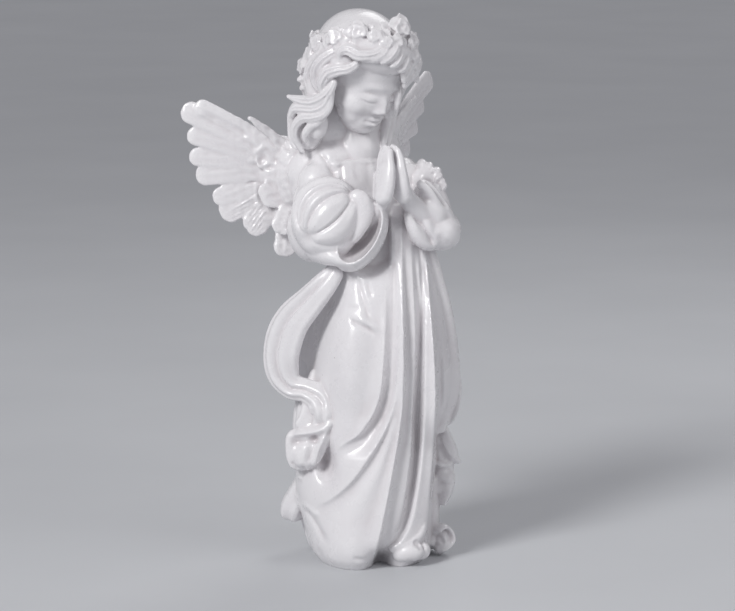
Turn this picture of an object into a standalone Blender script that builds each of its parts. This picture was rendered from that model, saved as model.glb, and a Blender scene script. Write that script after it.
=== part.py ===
"""Standing figurine of a child angel with praying hands, cast in one piece.

The figure is worked like clay. Rounded forms overlap, grow together into one skin and are then thinned
to a faceted solid. Forms are given in millimetres in the three-quarter view the angel is usually seen
from, and the finished solid is turned so that its front faces -Y. It stands on the flat underside of its
robe at the origin.
"""
import math

import bmesh
import bpy
import numpy as np
from mathutils import Matrix, Vector

MM = 0.001
NODE = "angel_figurine"
CLAY = 0.9            # size of the cells in which the forms grow together, mm
CAST = 1.1            # size of the cells of the finished cast, mm
FACET_COUNT = 9800    # triangles of the finished solid
LEVEL_BAND = 0.12     # height below which the underside is brought level, mm
LACQUER = (0.80, 0.79, 0.81, 1.0)
LACQUER_ROUGHNESS = 0.25


def smoothstep(low, high, x):
    t = np.clip((x - low) / (high - low), 0.0, 1.0)
    return t * t * (3 - 2 * t)


def curve_through(points, steps=12):
    """A smooth curve through the points."""
    points = np.array(points, float)
    ends = np.vstack([2 * points[0] - points[1], points, 2 * points[-1] - points[-2]])
    share = np.linspace(0, 1, steps, endpoint=False)[:, None]
    fine = []
    for a, b, c, d in zip(ends[:-3], ends[1:-2], ends[2:-1], ends[3:]):
        bend = (2 * a - 5 * b + 4 * c - d) * share**2 + (3 * b - a - 3 * c + d) * share**3
        fine.append(0.5 * (2 * b + (c - a) * share + bend))
    return np.vstack(fine + [points[-1:]])


def unit(v):
    v = np.asarray(v, float)
    return v / np.maximum(np.linalg.norm(v, axis=-1, keepdims=True), 1e-9)


def skin(place, around=24, along=24):
    """A grid rolled into a closed skin; place(turn, run) gives the points in millimetres."""
    bm = bmesh.new()
    bmesh.ops.create_grid(bm, x_segments=around, y_segments=along, size=1)
    flat = np.array([v.co[:2] for v in bm.verts])
    turn = (flat[:, 0] + 1) * math.pi
    run = (flat[:, 1] + 1) / 2
    for vert, point in zip(bm.verts, place(turn, run)):
        vert.co = point
    bmesh.ops.remove_doubles(bm, verts=bm.verts, dist=1e-3)
    mesh = bpy.data.meshes.new("skin")
    bm.to_mesh(mesh)
    bm.free()
    return mesh


def spin(turn):
    """The turning matrix for angles about X, Y and Z in degrees."""
    x, y, z = [math.radians(a) for a in turn]
    return np.array(Matrix.Rotation(z, 3, "Z") @ Matrix.Rotation(y, 3, "Y") @ Matrix.Rotation(x, 3, "X"))


def ball(centre, radii, turn=(0, 0, 0), around=32, along=24, relief=None):
    frame = spin(turn)

    def place(a, r):
        lat = (r - 0.5) * math.pi
        p = np.stack([np.cos(lat) * np.cos(a), np.cos(lat) * np.sin(a), np.sin(lat)], axis=1)
        base = (p * np.array(radii, float)) @ frame.T + np.array(centre, float)
        if relief is not None:
            normal = unit((p / np.array(radii, float)) @ frame.T)
            base = base + normal * relief(base, normal)[:, None]
        return base

    return skin(place, around, along)


def spread(values, count):
    """One row for each path point: a single value is repeated, a list is used as it is."""
    values = np.array(values, float)
    if values.ndim == 0:
        values = np.full(count, float(values))
    return values.reshape(count, -1)


def limb(path, widths, depths=None, facing=(0, -1, 0), relief=None, around=20, along=40, blunt=1.0):
    """A rounded form along a smooth path: widths across, depths towards facing, round ends."""
    path = np.array(path, float)
    count = len(path)
    widths = spread(widths, count)
    depths = widths if depths is None else spread(depths, count)
    facing = np.array(facing, float)
    facing = np.tile(facing, (count, 1)) if facing.ndim == 1 else facing
    table = np.hstack([path, widths, depths, facing])
    fine = curve_through(table)
    step = np.linalg.norm(np.diff(fine[:, :3], axis=0), axis=1)
    length = np.concatenate([[0], np.cumsum(step)])
    whole = length[-1]

    def read(at):
        return np.stack([np.interp(at, length, fine[:, k]) for k in range(fine.shape[1])], axis=1)

    def place(turn, run):
        # more rings near the ends, where the form rounds off
        eased = 0.5 - 0.5 * np.cos(math.pi * run)
        share = 0.6 * run + 0.4 * eased
        at = share * whole
        row = read(at)
        ahead = read(np.clip(at + 0.02 * whole, 0, whole))[:, :3]
        behind = read(np.clip(at - 0.02 * whole, 0, whole))[:, :3]
        tangent = unit(ahead - behind)
        face = row[:, 5:8]
        normal = unit(face - tangent * np.sum(face * tangent, axis=1, keepdims=True))
        across = np.cross(tangent, normal)
        first = max(float(widths[0, 0]) * blunt, 1e-3)
        last = max(float(widths[-1, 0]) * blunt, 1e-3)
        near = np.clip(at / min(first, whole / 2), 0, 1)
        far = np.clip((whole - at) / min(last, whole / 2), 0, 1)
        close = np.sqrt(np.maximum(0, 1 - (1 - near) ** 2)) * np.sqrt(np.maximum(0, 1 - (1 - far) ** 2))
        c, s = np.cos(turn), np.sin(turn)
        lift = 0 if relief is None else relief(c, share) * np.maximum(0, s) ** 0.5
        out = across * (c * row[:, 3] * close)[:, None]
        out += normal * ((s * row[:, 4] + lift) * close)[:, None]
        return row[:, :3] + out

    return skin(place, around, along)


def joined(meshes, name="clay"):
    bm = bmesh.new()
    for mesh in meshes:
        bm.from_mesh(mesh)
        bpy.data.meshes.remove(mesh)
    out = bpy.data.meshes.new(name)
    bm.to_mesh(out)
    bm.free()
    return out


def evaluated(mesh, modifiers):
    obj = bpy.data.objects.new("work", mesh)
    bpy.context.scene.collection.objects.link(obj)
    for kind, settings in modifiers:
        mod = obj.modifiers.new(kind, kind)
        for key, value in settings.items():
            setattr(mod, key, value)
    graph = bpy.context.evaluated_depsgraph_get()
    out = bpy.data.meshes.new_from_object(obj.evaluated_get(graph))
    bpy.data.objects.remove(obj)
    bpy.data.meshes.remove(mesh)
    return out


def fused(meshes, voxel, smooth=0, factor=0.5):
    """Overlapping closed forms grown together into one skin, then softened."""
    mesh = joined(meshes)
    steps = [("REMESH", dict(mode="VOXEL", voxel_size=voxel, adaptivity=0.0))]
    if smooth:
        steps.append(("SMOOTH", dict(factor=factor, iterations=smooth)))
    return evaluated(mesh, steps)


def hollowed(mesh, cutter):
    """The form with the cutter's form taken out of it."""
    tool = bpy.data.objects.new("cutter", cutter)
    cutters = bpy.data.collections.get("Cutters") or bpy.data.collections.new("Cutters")
    cutters.objects.link(tool)
    settings = dict(operation="DIFFERENCE", object=tool, solver="EXACT")
    out = evaluated(mesh, [("BOOLEAN", settings)])
    bpy.data.objects.remove(tool)
    bpy.data.meshes.remove(cutter)
    return out


def points_of(mesh):
    out = np.empty(len(mesh.vertices) * 3)
    mesh.vertices.foreach_get("co", out)
    return out.reshape(-1, 3)


def normals_of(mesh):
    out = np.empty(len(mesh.vertices) * 3, np.float32)
    mesh.vertex_normals.foreach_get("vector", out)
    return out.reshape(-1, 3).astype(float)


def set_points(mesh, points):
    mesh.vertices.foreach_set("co", np.ascontiguousarray(points, float).ravel())
    mesh.update()


TURN = 35.0                                # from the three-quarter view to the figure's own front, degrees
FRONT = np.array([math.sin(math.radians(TURN)), -math.cos(math.radians(TURN)), 0.0])
LEFT = np.array([math.cos(math.radians(TURN)), math.sin(math.radians(TURN)), 0.0])
UP = np.array([0.0, 0.0, 1.0])
TORSO = np.array([-10.0, 1.0, 0.0])        # the upright line through the chest
TILT = 0.158                               # fall of the view's level lines towards the back
VIEW_RISE = math.radians(9.0)
VIEW_DISTANCE = 2100.0
VIEW_AIM = np.array([-4.3, 0.0, 146.7])
VIEW_AHEAD = np.array([0.0, math.cos(VIEW_RISE), -math.sin(VIEW_RISE)])
VIEW_UP = np.array([0.0, math.sin(VIEW_RISE), math.cos(VIEW_RISE)])
EYE = VIEW_AIM - VIEW_DISTANCE * VIEW_AHEAD
HEIGHT_SCALE = 0.98863                     # from a height on the view's grid to the rise above its middle
HEIGHT_MIDDLE = 143.14


def seen(x, height, y):
    """A point by where it shows in the three-quarter view and how far back it lies."""
    spot = VIEW_AIM + VIEW_UP * (HEIGHT_SCALE * height - HEIGHT_MIDDLE)
    spot[0] = x
    share = (y - EYE[1]) / (spot[1] - EYE[1])
    return EYE + share * (spot - EYE)


def in_view(points):
    """Where points show in the three-quarter view: x and height."""
    away = points - EYE
    scale = VIEW_DISTANCE / (away @ VIEW_AHEAD)
    return away[:, 0] * scale + EYE[0], (away @ VIEW_UP * scale + HEIGHT_MIDDLE) / HEIGHT_SCALE


def body(left, front, z):
    """A point by its distance to the figure's left, to its front, and up."""
    return TORSO + LEFT * left + FRONT * front + UP * z


def bump(x, y, cx, cy, sx, sy):
    return np.exp(-((x - cx) / sx) ** 2 - ((y - cy) / sy) ** 2)


# robe
ROBE = [  # height, reach to the left of the view, reach to the right, depth centre, half depth
    (206, 24, 14, 3, 15),
    (198, 28, 20, 2, 20),
    (188, 28, 26, 2, 23),
    (176, 27, 31, 2, 26),
    (165, 24, 34, 1, 28),
    (152, 24, 38, 0, 31),
    (138, 30, 41, 0, 34),
    (124, 34, 43, 0, 36),
    (108, 36, 44.5, 0, 37),
    (92, 37, 43.2, 1, 37),
    (82, 39, 38.5, 1, 37),
    (72, 41, 35, 1, 37),
    (60, 44, 35.5, 1, 38),
    (45, 46, 34, 0, 38),
    (32, 44, 33, 0, 39),
    (20, 41, 32.5, 0, 39),
    (8, 38, 32, 0, 38),
    (0, 34, 30, 0, 37),
]

# Lines of the front, from the left of the view to its right: (height, x, lift), and whether
# the line is a sharp crest.
LINES = [
    (False, [(200, -40, 0), (-8, -48, 0)]),
    (False, [(170, -8, 0), (150, -5, 0), (120, -4, -1.8), (90, -8, -2.2), (80, -12, -1.6),
             (72, -17, -1), (55, -30, 0), (30, -40, 0), (-8, -44, 0)]),
    (True, [(170, 5, 0), (150, 6, 1), (110, 4.4, 2.9), (90, 1, 3), (75, -8, 1.8), (70, -14, 0.9),
            (66, -20, 0.1), (55, -28, 0), (30, -39, 0), (-8, -43, 0)]),
    (False, [(178, 9, 0), (165, 10, -0.6), (120, 9, -2.2), (100, 7, -3), (80, 0.5, -3.2),
             (67, -9.5, -2), (62, -16, -1), (58, -23, 0), (50, -29, 0), (30, -38, 0), (-8, -42, 0)]),
    (True, [(178, 12, 1), (150, 13.6, 3), (110, 13, 3.4), (90, 10.4, 3.4), (72, 3.6, 3.8),
            (50, -10.5, 3.2), (40, -20, 2.4), (34, -28, 1.4), (27, -35, 0), (-8, -41, 0)]),
    (False, [(178, 12.6, 1), (150, 14.2, 3.4), (100, 13.2, 3.2), (80, 9, 1.8), (60, 0, 0.2),
             (50, -6, 0), (40, -14, -0.3), (30, -24, -0.6), (20, -30, 0), (-8, -36, 0)]),
    (False, [(178, 13.2, 1.4), (150, 14.6, 3.6), (100, 14.2, 3.8), (80, 10.8, 2.6), (50, 1.6, 2.2),
             (30, -9, 1.2), (18, -16, 0.2), (-8, -22, 0)]),
    (False, [(178, 14, 1.8), (150, 15, 4), (115, 15.2, 4.4), (85, 13.4, 3.4), (60, 7.5, 1.4),
             (40, 2, 1), (18, -7, 0.2), (-8, -14, 0)]),
    (True, [(178, 15, 2.4), (150, 15.6, 4.6), (115, 16.2, 5.2), (85, 15, 5.4), (40, 7.4, 4.8),
            (10, 1.5, 3.4), (-8, -3, 1)]),
    (False, [(178, 17.5, 0.5), (115, 18.8, -3.4), (85, 18.2, -3.6), (65, 17, -2.4), (40, 14, -2.6),
             (20, 9, -4.2), (4, 3.4, -7), (-8, 0, -7)]),
    (True, [(178, 20.5, 0.6), (130, 22.6, -0.8), (100, 21.6, -3), (85, 20.6, -2.6), (60, 20, -1.8),
            (30, 15.8, -3.2), (12, 10.2, -6.4), (5, 6.4, -8.5), (-8, 2, -8.5)]),
    (False, [(178, 25.5, -2), (145, 26.4, -6), (85, 24.3, -11.5), (60, 23.2, -11), (40, 20.8, -10.5),
             (20, 16.6, -10), (12, 13.2, -9.5), (5, 8.6, -9.5), (-8, 5, -9)]),
    (False, [(178, 26.6, 0.2), (160, 28.2, -1), (100, 28.9, -1), (60, 27.2, -1), (30, 23.4, -3),
             (20, 21, -4.4), (12, 17.5, -5.5), (5, 12, -6.5), (-8, 8, -6.5)]),
    (True, [(178, 28.6, 1.5), (100, 34.2, 5), (40, 31.3, 3.8), (20, 29.6, 1.2), (12, 26.6, -1.4),
            (5, 21, -3.5), (-8, 16, -5)]),
    (False, [(178, 29.8, -1), (160, 31.6, -2.5), (130, 35, -6.5), (100, 37, -8), (72, 36, -5),
             (50, 34, -4), (30, 33, -4), (-8, 28, -6)]),
    (False, [(178, 33, 0), (160, 35, -1), (130, 39, -4.5), (85, 40, -3), (60, 37, -1), (-8, 36, 0)]),
    (False, [(178, 40, 0), (130, 45.5, 0.5), (100, 46, 0.8), (85, 45, 0.5), (72, 42, 0), (-8, 40, 0)]),
]

# Small folds: points (x, height), half width, lift, and how softly the two ends fade.
CREASES = [
    ([(-10, 163), (-7.5, 153), (-5, 144), (-3, 136)], 1.7, -1.2),
    ([(-5, 161), (-3.5, 156), (-1.5, 150)], 1.4, -0.8),
    ([(-13, 141.5), (-13.5, 139), (-9, 136), (-4, 133.5), (1, 129.5)], 1.3, -1.7),
    ([(-11, 142), (-7, 139), (-2, 135.5), (3, 131)], 2.2, 1.4),
    ([(-17, 147), (-12, 145.5), (-8, 146)], 1.5, -0.7),
    ([(24, 179), (24.8, 165), (26, 150), (26.4, 138)], 1.0, 2.0),
    ([(27.5, 174), (29, 162), (31.2, 148)], 1.0, -1.8),
    ([(11, 196), (10.4, 182), (10, 168)], 2.2, 1.6),
    ([(-44, 33), (-38, 27), (-33, 20), (-29, 13), (-26, 8)], 1.6, -2.2),
    ([(-45, 32.5), (-40, 30.5), (-35, 27), (-30, 26)], 1.8, 1.6),
    ([(-13, 3), (-8, 1.5), (-4, 0.5)], 1.2, -1.2),
    ([(-33, 8), (-31, 3), (-29, -1)], 1.2, -1.0),
    ([(7, 208), (8, 196), (8.6, 184)], 1.6, 1.2),
]

BACK_FOLDS = [  # angle from the front, positive to the right, and height; half width; lift
    ([(122, 186), (128, 130), (132, 90), (130, 50), (128, 20), (128, -5)], 5, 4.5),
    ([(140, 165), (146, 120), (148, 80), (147, 40), (146, -5)], 4, -4.5),
    ([(152, 188), (160, 130), (165, 85), (166, 45), (166, -5)], 6, 5.0),
    ([(174, 150), (180, 110), (184, 70), (185, 30), (185, -5)], 4, -4.5),
    ([(186, 188), (194, 130), (200, 85), (203, 45), (204, -5)], 6, 5.0),
    ([(206, 150), (214, 110), (220, 70), (222, 30), (222, -5)], 4, -4.5),
    ([(222, 186), (230, 130), (236, 90), (240, 50), (242, -5)], 5, 4.5),
    ([(246, 120), (250, 80), (252, 40), (253, -5)], 4, -3.5),
    ([(100, 175), (104, 130), (108, 100), (110, 82)], 4, -3.5),
    ([(112, 80), (112, 50), (112, 20), (112, -5)], 4, -3.0),
]
ARC = 38.0              # radius that turns angles round the back into lengths
SWELLS = [  # lift, x, height, spread across, spread up
    (6.0, -16, 112, 13, 42),      # over the thigh
    (6.0, -16, 6, 15, 17),        # over the foot
    (-12.0, -27.5, 55.5, 4.8, 9.5),
    (-15.0, 2.5, -4, 6.5, 8),
]
ROBE_TOP, ROBE_FOOT = 206.0, -2.0
CLOSE_TOP, CLOSE_FOOT = 0.05, 0.96      # shares of the skin that close it above and below
UNDER_CUFF = 7.0                        # how far the cloth steps back below the right cuff
OUTER_HEM = 80.0                        # mean height of the outer layer's hem
OUTER_LAYER = 4.6                       # how far the outer layer stands out
WALL_BEARING, WALL_SPREAD, WALL_LIFT = 249.0, 22.0, 14.0    # the side wall behind the scarf


def robe_reach(z):
    table = np.array(ROBE[::-1], float)
    total = [0.0] * 4
    for shift in (-5, -2.5, 0, 2.5, 5):
        at = np.clip(z + shift, 0, 206)
        for k in range(4):
            total[k] = total[k] + 0.2 * np.interp(at, table[:, 0], table[:, k + 1])
    return total


def line_distance(x, z, points):
    """Distance of each point from a smooth line, and how far along the line it lies."""
    line = curve_through(points, 5)
    steps = np.linalg.norm(np.diff(line, axis=0), axis=1)
    best = np.full(x.shape, 1e9)
    share = np.zeros(x.shape)
    done = 0.0
    for start, end, length in zip(line[:-1], line[1:], steps):
        d = (end - start) / max(length, 1e-6)
        px, pz = x - start[0], z - start[1]
        t = np.clip(px * d[0] + pz * d[1], 0, length)
        dist = np.hypot(px - t * d[0], pz - t * d[1])
        share = np.where(dist < best, (done + t) / steps.sum(), share)
        best = np.minimum(best, dist)
        done += length
    return best, share


def crease(x, z, points, wide, lift, fade=0.3):
    dist, share = line_distance(x, z, points)
    ends = smoothstep(0, fade, share) * smoothstep(0, fade, 1 - share)
    return lift * ends * np.exp(-(dist / wide) ** 2)


def drape(x, h):
    """The lift of the front's cloth, read across its lines at each height."""
    rows = []
    for sharp, points in LINES:
        fine = curve_through(points, 8)[::-1]
        rows.append((sharp, np.interp(h, fine[:, 0], fine[:, 1]), np.interp(h, fine[:, 0], fine[:, 2])))
    lift = np.where(x < rows[0][1], rows[0][2], 0.0)
    lift = np.where(x >= rows[-1][1], rows[-1][2], lift)
    for (sharp0, x0, d0), (sharp1, x1, d1) in zip(rows[:-1], rows[1:]):
        t = np.clip((x - x0) / np.maximum(x1 - x0, 0.05), 0, 1)
        if sharp0 and not sharp1:
            t = 2 * t - t * t
        elif sharp1 and not sharp0:
            t = t * t
        elif not sharp0:
            t = t * t * (3 - 2 * t)
        inside = (x >= x0) & (x < x1)
        lift = np.where(inside, d0 + (d1 - d0) * t, lift)
    return lift


def front_lift(x, h):
    """How far the cloth of the front stands out at each place of the view."""
    lift = drape(x, h)
    for points, wide, high in CREASES:
        lift += crease(x, h, points, wide, high)
    for high, cx, ch, sx, sh in SWELLS:
        lift += high * bump(x, h, cx, ch, sx, sh)
    shaded = smoothstep(161, 169, h - 0.06 * (x + 2) ** 2) * (1 - smoothstep(7.4, 9.4, x))
    return lift - UNDER_CUFF * shaded


def back_lift(angle, z):
    """How far the cloth of the sides and the back stands out; angle 0 is the front."""
    lift = np.zeros_like(z)
    around = np.where(angle < math.radians(80), angle + 2 * math.pi, angle)
    for points, wide, high in BACK_FOLDS:
        arcs = [(ARC * math.radians(a), v) for a, v in points]
        dist, share = line_distance(around * ARC, z, arcs)
        lift += high * smoothstep(0, 0.25, share) * np.exp(-(dist / wide) ** 2)
    hem = OUTER_HEM + 5 * np.sin(3 * angle + 0.6) + 3 * np.sin(7 * angle)
    outer = smoothstep(math.radians(66), math.radians(80), angle)
    outer = np.maximum(outer, smoothstep(math.radians(128), math.radians(140), -angle))
    lift += OUTER_LAYER * outer * smoothstep(-1.0, 1.0, z - hem)
    wall = np.exp(-((np.degrees(around) - WALL_BEARING) / WALL_SPREAD) ** 2)
    return lift + WALL_LIFT * wall * smoothstep(76, 96, z) * (1 - smoothstep(138, 172, z))


def robe():
    def place(turn, run):
        angle = turn - math.pi
        z = np.interp(run, [0, CLOSE_TOP, CLOSE_FOOT, 1], [ROBE_TOP, ROBE_TOP, ROBE_FOOT, ROBE_FOOT])
        inwards = np.interp(run, [0, CLOSE_TOP, CLOSE_FOOT, 1], [0, 1, 1, 0])
        left, right, middle, half = robe_reach(z)
        side, ahead = np.sin(angle), np.cos(angle)
        power = np.where(side > 0, 2.6, 2.05)
        power = np.where(ahead < 0, 2.2, power)
        ring = (np.abs(side) ** power + np.abs(ahead) ** power) ** (-1 / power)
        x = np.where(side > 0, right, left) * side * ring
        y = middle - half * ahead * ring
        front = smoothstep(0.05, 0.35, ahead)
        lift = front_lift(x, z + TILT * y) * front
        back = back_lift(angle, z) * (1 - front)
        x = x + back * side
        y = y - lift - back * ahead
        # the hem draws in where it meets the ground
        low = 1 - smoothstep(ROBE_FOOT, 9, z)
        tuck = inwards * (1 - (3.4 + 9 * bump(x, y, 2, -32, 7, 14)) * low**2 / 40)
        return np.stack([x * tuck, 1 + (y - 1) * tuck, z], axis=1)

    return skin(place, 360, 260)


def path_seen(rows):
    return [seen(*row) for row in rows]


def robe_extras():
    out = []
    # trailing lobe at the lower left
    flare = path_seen([(-37, 46, 4), (-42, 37, 8), (-46, 28, 11), (-47.4, 20.6, 13)])
    out.append(limb(flare, [7, 7.6, 8.2, 6.2], [9, 9, 8, 5], relief=lambda c, run: 1.2 * np.cos(5 * c + 1),
                    blunt=0.6))
    out.append(limb(path_seen([(-36, 46, 4), (-37, 36, 4), (-35, 24, 2)]), [8, 9, 8], [12, 12, 12]))
    for aside, back in ((-38.5, 17), (-34, 27)):
        flute = path_seen([(aside + 3, 52, back - 5), (aside, 34, back), (aside + 3.6, 16, back),
                           (aside + 7, 4, back)])
        out.append(limb(flute, [4, 6, 5.4, 4.6], [4, 6, 6, 5], facing=(-1, 0.3, 0)))
    # the foot of the hem on the right with its curl
    out.append(limb(path_seen([(10, 1, -24), (16, 2, -26), (22, 3, -26), (26, 4, -23)]), [5, 5.5, 6, 5],
                    [6, 6, 6, 6]))
    out.append(limb(path_seen([(28, 22, -20), (26, 14, -23), (21, 8.5, -26), (13, 5.5, -28), (8, 3, -28)]),
                    [2.6, 3.0, 3.2, 3.0, 2.0], [4, 4, 3.4, 3, 2]))
    out.append(limb(path_seen([(22.5, 1, -27), (21.5, 5, -28), (22.5, 8.4, -27), (26, 9.2, -25),
                               (29.5, 7.4, -22), (30.6, 3, -21),
                               (28.5, -0.4, -22), (24.5, 0.5,
                                                   -25)]), [1.7] * 8, [3.5] * 8, facing=(0.3, -1, 0)))
    out.append(ball(seen(26.4, 3.6, -21), (4.4, 4.5, 4.2)))
    # floor curl at the right
    out.append(limb(path_seen([(34.5, 12, -2), (36, 16, 0), (39.5, 17.3, 2), (42.5, 14, 3), (43.2, 9.5, 3),
                               (40, 6, 2),
                               (36, 3.6, 1)]), [1.5, 1.6, 1.6, 1.6, 1.8, 2.2,
                                                2], [5.5] * 7, facing=(0.5, -1, 0)))
    out.append(ball(seen(39, 9.6, 4), (5, 8, 7)))
    out.append(ball(seen(37, 5, 3), (3.4, 6, 4)))
    # lower edge of the outer layer at the right
    out.append(limb(path_seen([(38, 134, 8), (40.6, 112, 8), (41.6, 97, 8), (39.6, 84, 8), (36.6, 79, 8)]),
                    [2, 3.4, 3.8, 3.4, 2.4], [8, 12, 13, 12, 9],
                    facing=(0.6, -1, 0), relief=lambda c, run: 1.0 * np.cos(4 * c + 1), blunt=0.3))
    # cascade of hems at the right
    out.append(limb(path_seen([(35, 78, 10), (38.5, 70, 9), (41.5, 63, 8), (44.5, 57, 7), (47.3, 54.6, 6)]),
                    [1.8, 3.2, 4.2, 3.6, 1.6], [9, 9, 8, 6, 2.5], facing=(0.5, -1, 0.2)))
    out.append(limb(path_seen([(35, 78, 13), (37, 68, 13), (39, 58, 12), (39, 50, 12), (37, 36, 12)]),
                    [3, 5, 6, 6, 5],
                    [8, 9, 9, 9, 9], blunt=0.6))
    out.append(limb(path_seen([(34, 54, 6), (39, 53.5, 7), (44.5, 54, 6)]), [2.2, 2.0, 1.6], [7, 6, 4],
                    facing=(0.3, -1, 0)))
    out.append(limb(path_seen([(39, 51, 10), (39.4, 45, 10), (38.8, 38, 10), (36.6, 30, 10)]),
                    [6.4, 6.2, 5.6, 3.6], [7, 9, 8, 6],
                    facing=(0.4, -1, 0), relief=lambda c, run: 1.8 * np.cos(4 * c) * run, blunt=0.7))
    out.append(limb(path_seen([(32, 50, 12), (33, 25, 12), (32, 4, 8)]), [5, 4, 4], [11, 11, 11]))
    return out


# scarf
SCARF_PLEATS = [(-1.0, -1.0), (-0.9, 1.8), (-0.66, 1.8), (-0.46, -2.4), (-0.22, -0.2), (0.06, 1.6),
                (0.16, 1.4),
                (0.3, -2.0), (0.5, 0.2), (0.74, 2.2), (0.88, 1.6), (1.0, -0.5)]


def scarf_relief(c, run):
    """Pleats of the scarf from its outer edge (c = -1) to its inner edge."""
    table = curve_through(SCARF_PLEATS, 6)
    lift = np.interp(c, table[:, 0], table[:, 1])
    return lift * smoothstep(0.0, 0.22, run) * (1 - 0.35 * smoothstep(0.75, 1.0, run))


def scarf():
    out = []
    band = [(-20, 168, -22), (-28, 157.8, -23), (-37, 147.5, -21), (-46.4, 137, -18), (-51.4, 127, -16),
            (-53.6, 116, -14.5),
            (-52.4, 105.5, -14), (-47.2, 98.2, -15), (-39, 95.6,
                                                      -18), (-31.5, 91.5,
                                                             -22), (-28.5, 84, -25), (-29, 76, -26)]
    facing = [(-0.5, -1, 0.35)] * 6 + [(-0.35, -1, 0.1), (-0.2, -1, 0.1), (-0.1, -1, 0.4), (0.1, -1, 0.2),
                                       (0.1, -1, 0), (0, -1, 0)]
    out.append(limb(path_seen(band), [5, 7.6, 9.4, 11.4, 12.2, 11.6, 10, 7.8, 7, 8.6, 8.8, 8],
                    [4, 3.8, 3.8, 3.8, 3.8, 3.8, 3.8, 4, 4, 4, 4, 4],
                    facing=facing, relief=scarf_relief, around=88, along=110))

    def soft_pleats(c, run):
        return 0.9 * np.cos(3.4 * c + 1.2 * run) + 0.5 * np.cos(7 * c - 1.5 * run)

    out.append(limb(path_seen([(-33.5, 97, -17), (-33, 87, -20), (-33.6, 79, -21.5), (-35.5, 70.5, -22)]),
                    [7.4, 9.0, 10.2, 12.6], [4.4, 4.4, 4.2,
                                             3.6], relief=soft_pleats, around=40, blunt=0.35))
    # the rolled rim over the end piece
    out.append(limb(path_seen([(-48, 68.6, -18), (-42.5, 70.6, -22), (-35, 71.6, -25), (-28.5, 74, -27),
                               (-23.8, 79, -28)]),
                    [3.0, 3.9, 4.1, 3.6, 2.2], [3.6, 3.8, 3.8, 3.6, 3]))

    def end_pleats(c, run):
        return 1.3 * np.cos(4.6 * c + 0.6) - 0.6 * c

    out.append(limb(path_seen([(-38.5, 74, -20), (-40, 66, -21.5), (-40.6, 57, -21.5), (-39.2, 49.4, -21)]),
                    [12, 11.4, 10, 6.8], [5, 5.2, 5, 4], relief=end_pleats, around=44, blunt=0.7))
    out.append(limb(path_seen([(-25.2, 74, -26), (-28.6, 68, -26), (-33.6, 61, -25.5), (-37.6, 53, -25)]),
                    [1.8, 3.4, 5.2, 5.0],
                    [2.4, 3, 3.4, 3], facing=(0.25, -1, 0.1), blunt=0.8))
    # cloth behind the scarf that ties it to the body
    for reach, back, low in ((-37, -9, 46), (-38.5, 1, 52), (-36, 10, 40)):
        fold = [(reach + 4, back, 112), (reach, back - 1, 92), (reach - 1, back - 2, 72),
                (reach, back - 3, low)]
        out.append(limb(fold, [3, 5.4, 6.6, 4.6], [3, 7, 8, 7], facing=(-1, -0.2, 0), blunt=0.8))
    return out


# flesh
HEAD_CENTRE = np.array([-8.0, -7.0, 282.5])
HEAD_TURN, HEAD_NOD, HEAD_LEAN, HEAD_SIZE = 43.0, 24.0, 4.0, 0.93
HEAD = (Matrix.Translation(Vector(HEAD_CENTRE)) @ Matrix.Rotation(math.radians(HEAD_LEAN), 4, "Y")
        @ Matrix.Rotation(math.radians(HEAD_TURN), 4, "Z") @ Matrix.Rotation(math.radians(HEAD_NOD), 4, "X")
        @ Matrix.Scale(HEAD_SIZE, 4))
HEAD_ARRAY = np.array(HEAD)


def head_ball(centre, radii):
    mesh = ball((0, 0, 0), radii)
    mesh.transform(HEAD @ Matrix.Translation(Vector(centre)))
    return mesh


def head_masses():
    return [
        head_ball((0, 3, 6), (26, 28.5, 27)),
        head_ball((0, -8, -6), (20.5, 20, 24)),
        head_ball((0, -13, -22), (13.5, 13.5, 12.5)),
        head_ball((11, -14, -12), (9, 10, 10)),
        head_ball((-11, -14, -12), (9, 10, 10)),
    ]


FACE = [  # x (both sides), z, spread x, spread z, lift
    (9.6, -4.5, 5.5, 4.2, -2.8),      # eye sockets
    (9.8, -5.6, 4.6, 3.2, 2.6),       # eyeballs under their lids
    (9.0, 1.6, 7.5, 2.2, 0.9),        # brow
    (11.5, -15, 6.0, 6.0, 1.2),       # cheeks
    (0, -1, 2.8, 4.5, -0.6),          # root of the nose
    (0, -7, 2.7, 4.6, 2.4),           # bridge
    (0, -12.6, 3.2, 3.0, 4.0),        # tip
    (3.4, -13.8, 1.7, 1.5, 1.9),      # wings of the nose
    (1.9, -15.6, 1.0, 0.7, -1.2),     # nostrils
    (0, -17.4, 1.1, 1.7, -0.6),       # groove above the lip
    (2.3, -19.7, 2.2, 1.2, 1.5),      # upper lip
    (0, -20.0, 1.2, 1.0, 0.7),
    (0, -23.0, 3.4, 1.3, 1.9),        # lower lip
    (5.8, -21.4, 1.4, 1.3, -0.9),     # corners of the mouth
    (0, -26.0, 4.2, 1.3, -1.3),       # hollow above the chin
    (0, -30.0, 4.6, 3.2, 1.4),        # chin
]


def face_lift(x, z):
    lift = np.zeros_like(x)
    for cx, cz, sx, sz, high in FACE:
        for side in ((-1, 1) if cx else (1,)):
            lift += high * bump(x, z, side * cx, cz, sx, sz)
    bend = -21.6 + 0.0175 * x**2
    lift -= 1.2 * np.exp(-((z - bend) / 0.6) ** 2) * np.exp(-(x / 5.2) ** 4)
    for side in (-1, 1):
        ex = x - side * 9.8
        lash = -8.3 + 0.04 * ex**2
        lift -= 0.9 * np.exp(-((z - lash) / 0.5) ** 2) * np.exp(-(ex / 4.6) ** 4)
        crease_z = -2.6 - 0.05 * ex**2
        lift -= 0.6 * np.exp(-((z - crease_z) / 0.6) ** 2) * np.exp(-(ex / 4.6) ** 4)
    return lift


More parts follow.
